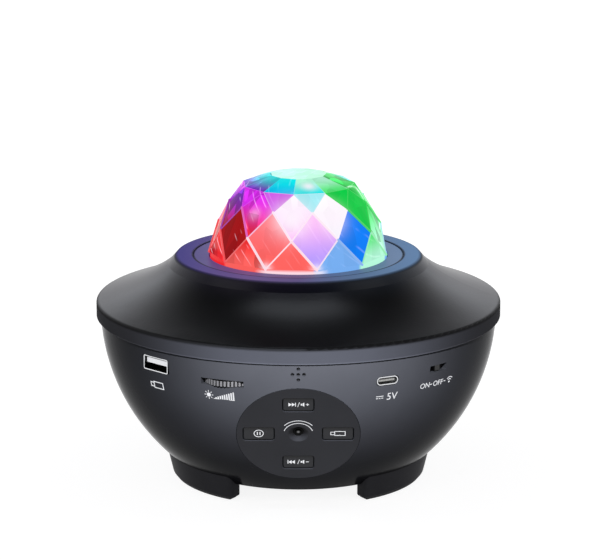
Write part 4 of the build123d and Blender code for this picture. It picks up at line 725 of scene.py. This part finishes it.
rib_light = Finish("rib_light", grey(0.03), 0.15, level=0.2)
rib_colour = rib_light.add("Attribute", attribute_name="light_colour").outputs["Color"]
rib_light.glow(rib_colour, 0.95)
rib_light.bump(rib_light.noise(GRAIN), 0.00005)


def polygon(ring, step):
    """Points along the sides of one ring's polygon, from the corner at a facet step on."""
    corners = np.array([corner(ring, i + step) for i in range(FACETS)])
    sides = np.roll(corners, -1, axis=0) - corners
    return (corners[:, None] + np.linspace(0, 1, PATCH)[:-1, None] * sides[:, None]).reshape(-1, 3)


def front_share(places, middle, reach, fade, least=0.0):
    """One round an angle from the front in degrees, falling to the least over the fade that ends
    at reach on both sides."""
    turn = np.degrees(np.arctan2(places[:, :1], -places[:, 1:2]))
    return np.clip((reach - np.abs(turn - middle)) / fade, least, 1)


def solidify(piece, name, thickness):
    """Thickens a piece inwards from its faces."""
    wall = piece.modifiers.new(name, "SOLIDIFY")
    wall.thickness = thickness
    wall.offset = -1


facet_points, facet_colours = dome_facets()
patch_faces = grid_faces(PATCH, PATCH)[:, ::-1]
shell_faces = np.concatenate([patch_faces + i * PATCH**2 for i in range(len(facet_points))])
shell_points = facet_points.reshape(-1, 3)
shell_colours = facet_colours.reshape(-1, 4)

# top cap: rings from the top polygon in to a last small one, and a fan to the middle
CAP_ROWS = 8
CAP_LAST = 0.02
CAP_LEFT = np.array([0.50, 0.93, 0.84])
CAP_RIGHT = np.array([0.42, 0.94, 0.62])
CAP_BROKEN = 0.15
cap_edge = polygon(TOP, 0.5)
cap_middle = np.array([[0, 0, PLATEAU + TOP[1] * MM]])
cap_rings = cap_middle + np.linspace(1, CAP_LAST, CAP_ROWS)[:, None, None] * (cap_edge - cap_middle)
cap_points = np.r_[cap_rings.reshape(-1, 3), cap_middle]
cap_start = len(shell_points)
cap_faces = grid_faces(CAP_ROWS, len(cap_edge), True) + cap_start
last_ring = cap_start + (CAP_ROWS - 1) * len(cap_edge) + np.arange(len(cap_edge))
foot_start = cap_start + len(cap_points)
fan = [last_ring, np.roll(last_ring, -1), np.full(len(cap_edge), foot_start - 1)]
cap_across = np.clip(0.5 + cap_points[:, :1] / (2 * TOP[0] * MM), 0, 1)
cap_colours = CAP_LEFT + cap_across * (CAP_RIGHT - CAP_LEFT)
cap_colours = np.c_[cap_colours, np.full(len(cap_points), CAP_BROKEN)]

# foot: round collar from the low corners down into the ring's seat, white at the front. The
# front is a middle, a reach and a fade in degrees.
COLLAR_RADIUS = 34.95 * MM
COLLAR_TOP = 0.4 * MM
COLLAR_BOTTOM = -1.0 * MM
FOOT_WHITE = 0.75
FOOT_FRONT = (-4, 24, 6)
foot_edge = polygon(LOW, 0)
collar = foot_edge * [1, 1, 0]
collar *= COLLAR_RADIUS / np.linalg.norm(collar, axis=1, keepdims=True)
foot_rows = [collar + [0, 0, PLATEAU + height] for height in (COLLAR_TOP, COLLAR_BOTTOM)]
foot_points = np.concatenate([foot_edge, *foot_rows])
foot_faces = grid_faces(3, len(foot_edge), True)[:, ::-1] + foot_start
foot_tones = np.repeat([TONES[group[0].split()[0]] for group in GROUPS], PATCH - 1, axis=0)
foot_white = FOOT_WHITE * front_share(foot_edge, *FOOT_FRONT)
foot_bright = foot_tones + (np.array(TONES["white"]) - foot_tones) * foot_white
foot_colours = np.r_[foot_tones, foot_bright, foot_bright]
foot_colours = np.c_[foot_colours, np.zeros(len(foot_points))]

CREASE = math.radians(9)
SHELL_WALL = 1.4 * MM
dome_shell = mesh_piece(
    "dome_shell",
    np.r_[shell_points, cap_points, foot_points],
    [*shell_faces, *cap_faces, *np.stack(fan, -1), *foot_faces],
    dome_light,
    "housing",
    colours=np.r_[shell_colours, cap_colours, foot_colours],
    crease=CREASE,
)
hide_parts("crystal_dome")
solidify(dome_shell, "thickness", SHELL_WALL)

# ------------------------------------------------------------------ ribs of the dome
BAR_POLE = 0.05


def capsules(starts, ends, radii, rows=7, columns=8):
    """Rounded bars: a half circle, a straight run and a half circle turned round each line. The
    half circles begin and end a little off the poles."""
    along = ends - starts
    length = np.linalg.norm(along, axis=1, keepdims=True)
    along = along / length
    side = np.cross(along, [0.0, 0.0, 1.0])
    side /= np.linalg.norm(side, axis=1, keepdims=True)
    other = np.cross(along, side)
    turn = np.linspace(BAR_POLE, math.pi - BAR_POLE, 2 * rows)
    shift = np.r_[np.zeros(rows), np.ones(rows)]
    line = starts[:, None] + shift[:, None] * (along * length)[:, None]
    line = line - np.cos(turn)[:, None] * radii[:, None, None] * along[:, None]
    angle = np.arange(columns)[:, None] * 2 * math.pi / columns
    outwards = np.cos(angle) * side[:, None] + np.sin(angle) * other[:, None]
    width = np.sin(turn)[:, None, None] * radii[:, None, None, None]
    return line[:, :, None] + width * outwards[:, None]


# Radii in mm. A pair is for the ribs that rise towards +X and for those that fall towards +X.
LOW_RIBS = (0.30, 0.52)
SECOND_RIBS = (0.26, 0.46)
THIRD_RIB = 0.16
CREST_RIB = 0.12


def rib_lines():
    """Start, end and radius of a rib on every edge between two facets. The crown's ribs lie just
    under the top."""
    lines = []
    crest = (TOP[0], TOP[1] - CREST_RIB)
    for i in range(FACETS):
        low_a, low_b, second = corner(LOW, i), corner(LOW, i + 1), corner(SECOND, i + 0.5)
        third_a, third_b = corner(THIRD, i), corner(THIRD, i + 1)
        fourth_a, fourth_b = corner(FOURTH, i + 0.5), corner(FOURTH, i + 1.5)
        top_a, top_b = corner(crest, i + 0.5), corner(crest, i + 1.5)
        lines += [(low_a, second, LOW_RIBS[0]), (low_b, second, LOW_RIBS[1])]
        lines += [(second, third_a, SECOND_RIBS[1]), (second, third_b, SECOND_RIBS[0])]
        lines += [(third_a, fourth_a, THIRD_RIB), (third_b, fourth_a, THIRD_RIB)]
        lines += [(fourth_a, fourth_b, CREST_RIB), (fourth_a, top_a, CREST_RIB)]
        lines.append((top_a, top_b, CREST_RIB))
    starts, ends, radii = zip(*lines)
    return np.array(starts), np.array(ends), np.array(radii) * MM


# White light on the ribs: its colour, its front as a middle, a reach and a fade in degrees and
# the least share elsewhere, and the height in mm over which it fades upwards.
RIB_WHITE = np.array([1.0, 0.80, 0.90])
RIB_FRONT = (-2.5, 34, 7, 0.08)
RIB_FADE = 20


def rib_tones(middles):
    """Mean colour of the facet nearest to each rib's middle, whiter low down and at the front. The
    white's share falls evenly with the height and is cut off at both ends."""
    facets = facet_points.mean((1, 2))
    tones = facet_colours[..., :3].mean((1, 2))
    nearest = np.linalg.norm(middles[:, None] - facets, axis=-1).argmin(1)
    low_share = np.clip(1.5 - (middles[:, 2:] - PLATEAU) / (RIB_FADE * MM), 0.25, 0.9)
    white = (RIB_WHITE - tones[nearest]) * low_share
    return tones[nearest] + white * front_share(middles, *RIB_FRONT)


rib_starts, rib_ends, rib_radii = rib_lines()
rib_points = capsules(rib_starts, rib_ends, rib_radii)
rib_rows, rib_columns = rib_points.shape[1:3]
rib_size = rib_rows * rib_columns
one_rib = grid_faces(rib_rows, rib_columns, True).tolist()
one_rib += [list(range(rib_columns))[::-1], list(range(rib_size - rib_columns, rib_size))]
rib_faces = [
    [i * rib_size + k for k in face] for i in range(len(rib_points)) for face in one_rib
]
rib_tone = rib_tones((rib_starts + rib_ends) / 2)
rib_tone = np.repeat(np.c_[rib_tone, np.zeros(len(rib_tone))], rib_size, axis=0)
rib_flat = rib_points.reshape(-1, 3)
mesh_piece(
    "dome_ribs", rib_flat, rib_faces, rib_light, "housing", colours=rib_tone
)

# ------------------------------------------------------------------ printed marks
# Heights over the surfaces and sizes in mm.
INK = 0.06
INK_THICKNESS = 0.10
INK_WHITE = (0.80, 0.81, 0.83)
ink = Finish("white_ink", INK_WHITE, 0.6)
ink.mottle(INK_WHITE, 0.08, 900.0)
ink.bump(ink.noise(3000.0), 0.00001)
# The ink glows faintly, painted light that keeps the print bright.
ink.glow((0.8, 0.82, 0.85, 1), 0.12)


def bar(start, end, width):
    """Straight stroke as one quad."""
    a, b = np.array(start, float), np.array(end, float)
    way = (b - a) / np.linalg.norm(b - a)
    side = np.array([-way[1], way[0]]) * width / 2
    return np.array([a - side, b - side, b + side, a + side]), [[0, 1, 2, 3]]


def arc(centre, radius, width, first, last, count):
    """Stroke along a circle, angles in degrees from the right, anticlockwise."""
    angle = np.radians(np.linspace(first, last, count))
    way = np.stack([np.cos(angle), np.sin(angle)], -1)
    edges = [np.array(centre) + (radius + side * width / 2) * way for side in (-1, 1)]
    faces = [[i, i + count, i + count + 1, i + 1] for i in range(count - 1)]
    return np.concatenate(edges), faces


def disc(centre, radius, count=24):
    """Filled circle as one face."""
    angle = np.arange(count) * 2 * math.pi / count
    points = np.array(centre) + radius * np.stack([np.cos(angle), np.sin(angle)], -1)
    return points, [list(range(count))]


def shape(*points):
    """Filled outline as one face."""
    return np.array(points, float), [list(range(len(points)))]


def box_outline(centre, size, width):
    """Rectangle drawn with four strokes."""
    x, y = centre
    w, h = size[0] / 2, size[1] / 2
    marks = [bar((x - w, y + s * h), (x + w, y + s * h), width) for s in (-1, 1)]
    reach = h + width / 2
    marks += [bar((x + s * w, y - reach), (x + s * w, y + reach), width) for s in (-1, 1)]
    return marks


def letters(text, size, centre):
    """Letters of the plain built-in typeface as flat faces round a centre."""
    curve = bpy.data.curves.new("letters", "FONT")
    curve.body = text
    curve.size = size
    curve.resolution_u = 3
    curve.align_x, curve.align_y = "CENTER", "CENTER"
    holder = bpy.data.objects.new("letters", curve)
    scene.collection.objects.link(holder)
    mesh = bpy.data.meshes.new_from_object(holder)
    points = np.array([v.co[:2] for v in mesh.vertices])
    faces = [list(p.vertices) for p in mesh.polygons]
    bpy.data.objects.remove(holder)
    bpy.data.curves.remove(curve)
    bpy.data.meshes.remove(mesh)
    shift = np.array(centre) - (points.min(0) + points.max(0)) / 2
    return points + shift, faces


def on_bowl(angle, height):
    """Lays flat points in mm on the bowl's sphere round a point at an angle and a height: x runs
    round the bowl as an angle and y runs up it as a latitude."""
    latitude = math.asin((height - BOWL_CENTRE) / BOWL_RADIUS)

    def lay(flat):
        up = latitude + flat[:, 1] / BOWL_RADIUS
        turn = math.radians(angle) + flat[:, 0] / (BOWL_RADIUS * math.cos(latitude))
        radius = BOWL_RADIUS + INK
        x = radius * np.cos(up) * np.sin(turn)
        y = -radius * np.cos(up) * np.cos(turn)
        return np.stack([x, y, BOWL_CENTRE + radius * np.sin(up)], -1) * MM

    return lay


def on_panel(x, y, depth=0.0):
    """Lays flat points on the panel's plane, moved in by depth and centred at x, y."""

    def lay(flat):
        place = PANEL_MIDDLE + PANEL_OUT * (INK - depth)
        across = (flat[:, :1] + x) * np.array([1, 0, 0])
        return (place + across + (flat[:, 1:] + y) * PANEL_UP) * MM

    return lay


def printed(name, marks, lay, body):
    """Printed mark: all its flat shapes laid on a surface, with the ink's thickness."""
    points, faces, start = [], [], 0
    for flat, shapes in marks:
        points.append(lay(flat))
        faces += [[k + start for k in face] for face in shapes]
        start += len(flat)
    piece = mesh_piece(name, np.concatenate(points), faces, ink, body, smooth=False)
    solidify(piece, "ink", INK_THICKNESS * MM)


def speaker_sign(x, sign):
    """Loudspeaker outline with a plus or minus."""
    marks = [
        shape((x - 1.0, -0.45), (x - 0.45, -0.45), (x - 0.45, 0.45), (x - 1.0, 0.45)),
        shape((x - 0.3, -0.5), (x + 0.35, -1.05), (x + 0.35, 1.05), (x - 0.3, 0.5)),
        bar((x + 0.95, 0), (x + 2.15, 0), 0.28),
    ]
    if sign > 0:
        marks.append(bar((x + 1.55, -0.6), (x + 1.55, 0.6), 0.28))
    return marks


def skip_sign(x, way):
    """Two triangles and a bar, pointing right or left."""
    marks = []
    for k in (-1, 0):
        tip = x + way * (k * 1.25 + 1.25)
        marks.append(shape((tip - way * 1.2, -0.95), (tip, 0), (tip - way * 1.2, 0.95)))
    marks.append(bar((x + way * 1.45, -0.95), (x + way * 1.45, 0.95), 0.3))
    return marks


def stick_sign(x, y, scale):
    """Memory stick: a body outline and its plug."""
    s = scale
    marks = box_outline((x + 0.5 * s, y), (3.6 * s, 1.9 * s), 0.26 * s)
    marks += box_outline((x - 2.0 * s, y), (1.3 * s, 1.25 * s), 0.24 * s)
    return marks


BUTTON_DEPTH = 0.35
BUTTON_CIRCLE = 15
slash = [bar((-0.25, -1.15), (0.45, 1.15), 0.22)]
pause = [arc((0, 0), 1.75, 0.28, 0, 360, 49)]
pause += [bar((x, -0.8), (x, 0.8), 0.36) for x in (-0.5, 0.5)]
for name, marks, across, up in (
    ("next", skip_sign(-2.5, 1) + slash + speaker_sign(1.9, 1), 0, BUTTON_CIRCLE),
    ("previous", skip_sign(-2.5, -1) + slash + speaker_sign(1.9, -1), 0, -BUTTON_CIRCLE),
    ("pause", pause, -BUTTON_CIRCLE, 0),
    ("mode", stick_sign(0.2, 0, 1.1), BUTTON_CIRCLE, 0),
):
    place = on_panel(across, up, BUTTON_DEPTH)
    printed(f"{name}_mark", marks, place, f"{name}_button")
receiver = [arc((0, 0), 5.6, 0.26, 18, 162, 48), arc((0, 0), 6.9, 0.26, 40, 140, 40)]
printed("receiver_mark", receiver, on_panel(0, 0), "housing")

sun = [disc((0, 0), 0.85)]
for ray in np.arange(8) * math.pi / 4:
    way = np.array([math.cos(ray), math.sin(ray)])
    sun.append(bar(1.2 * way, 1.85 * way, 0.26))
RAMP_BARS = 9
RAMP_STEP = 0.9
RAMP_LOW = -1.5
ramp = []
for i in range(RAMP_BARS):
    x, height = RAMP_STEP * i + 1.2, 3.4 * (i + 2) / (RAMP_BARS + 1)
    ramp.append(bar((x, RAMP_LOW), (x, RAMP_LOW + height), 0.55))
ramp.append(bar((0.2, RAMP_LOW), (RAMP_STEP * RAMP_BARS + 0.7, RAMP_LOW), 0.24))
supply = [bar((-4.9, 0.45), (-1.9, 0.45), 0.3)]
supply += [bar((-4.9 + 1.12 * i, -0.4), (-4.13 + 1.12 * i, -0.4), 0.3) for i in range(3)]
supply.append(letters("5V", 4.2, (1.9, 0.0)))
switch = [
    letters("ON", 3.1, (-7.6, 0)),
    bar((-5.1, 0), (-4.0, 0), 0.32),
    letters("OFF", 3.1, (-0.7, 0)),
    bar((2.4, 0), (3.4, 0), 0.32),
    disc((5.9, -1.0), 0.38),
    arc((5.9, -1.0), 1.2, 0.3, 45, 135, 14),
    arc((5.9, -1.0), 2.1, 0.3, 45, 135, 18),
]
for name, marks, angle, height in (
    ("sun_mark", sun, -26.2, 50.05),
    ("ramp_mark", ramp, -24.9, 50.15),
    ("stick_mark", stick_sign(0.3, 0, 1.35), -45.0, 49.7),
    ("supply_mark", supply, 26.3, 49.2),
    ("switch_mark", switch, 44.6, 51.0),
):
    printed(name, marks, on_bowl(angle, height), "housing")

# ------------------------------------------------------------------ floor
# The floor glows, more with the distance, so that only a faint shadow is left on it.
FLOOR_REACH = 6.0
FLOOR_DROP = 0.0001
floor = Finish("floor_pale", grey(0.30), 0.8, level=0.0)
floor.mottle(grey(0.30), 0.01, 6.0)
floor_away = floor.vector("LENGTH", floor.place).outputs["Value"]
floor.glow((1.0, 1.0, 1.0, 1), floor.spread(floor_away, 0.88, 1.0, 0.05, 0.50))
floor_mesh = bpy.data.meshes.new("floor")
floor_corners = [
    (x * FLOOR_REACH, y * FLOOR_REACH, -FLOOR_DROP) for x, y in ((-1, -1), (1, -1), (1, 1), (-1, 1))
]
floor_mesh.from_pydata(floor_corners, [], [(0, 1, 2, 3)])
floor_mesh.materials.append(floor.material)
floor_piece = bpy.data.objects.new("floor", floor_mesh)
scene.collection.objects.link(floor_piece)
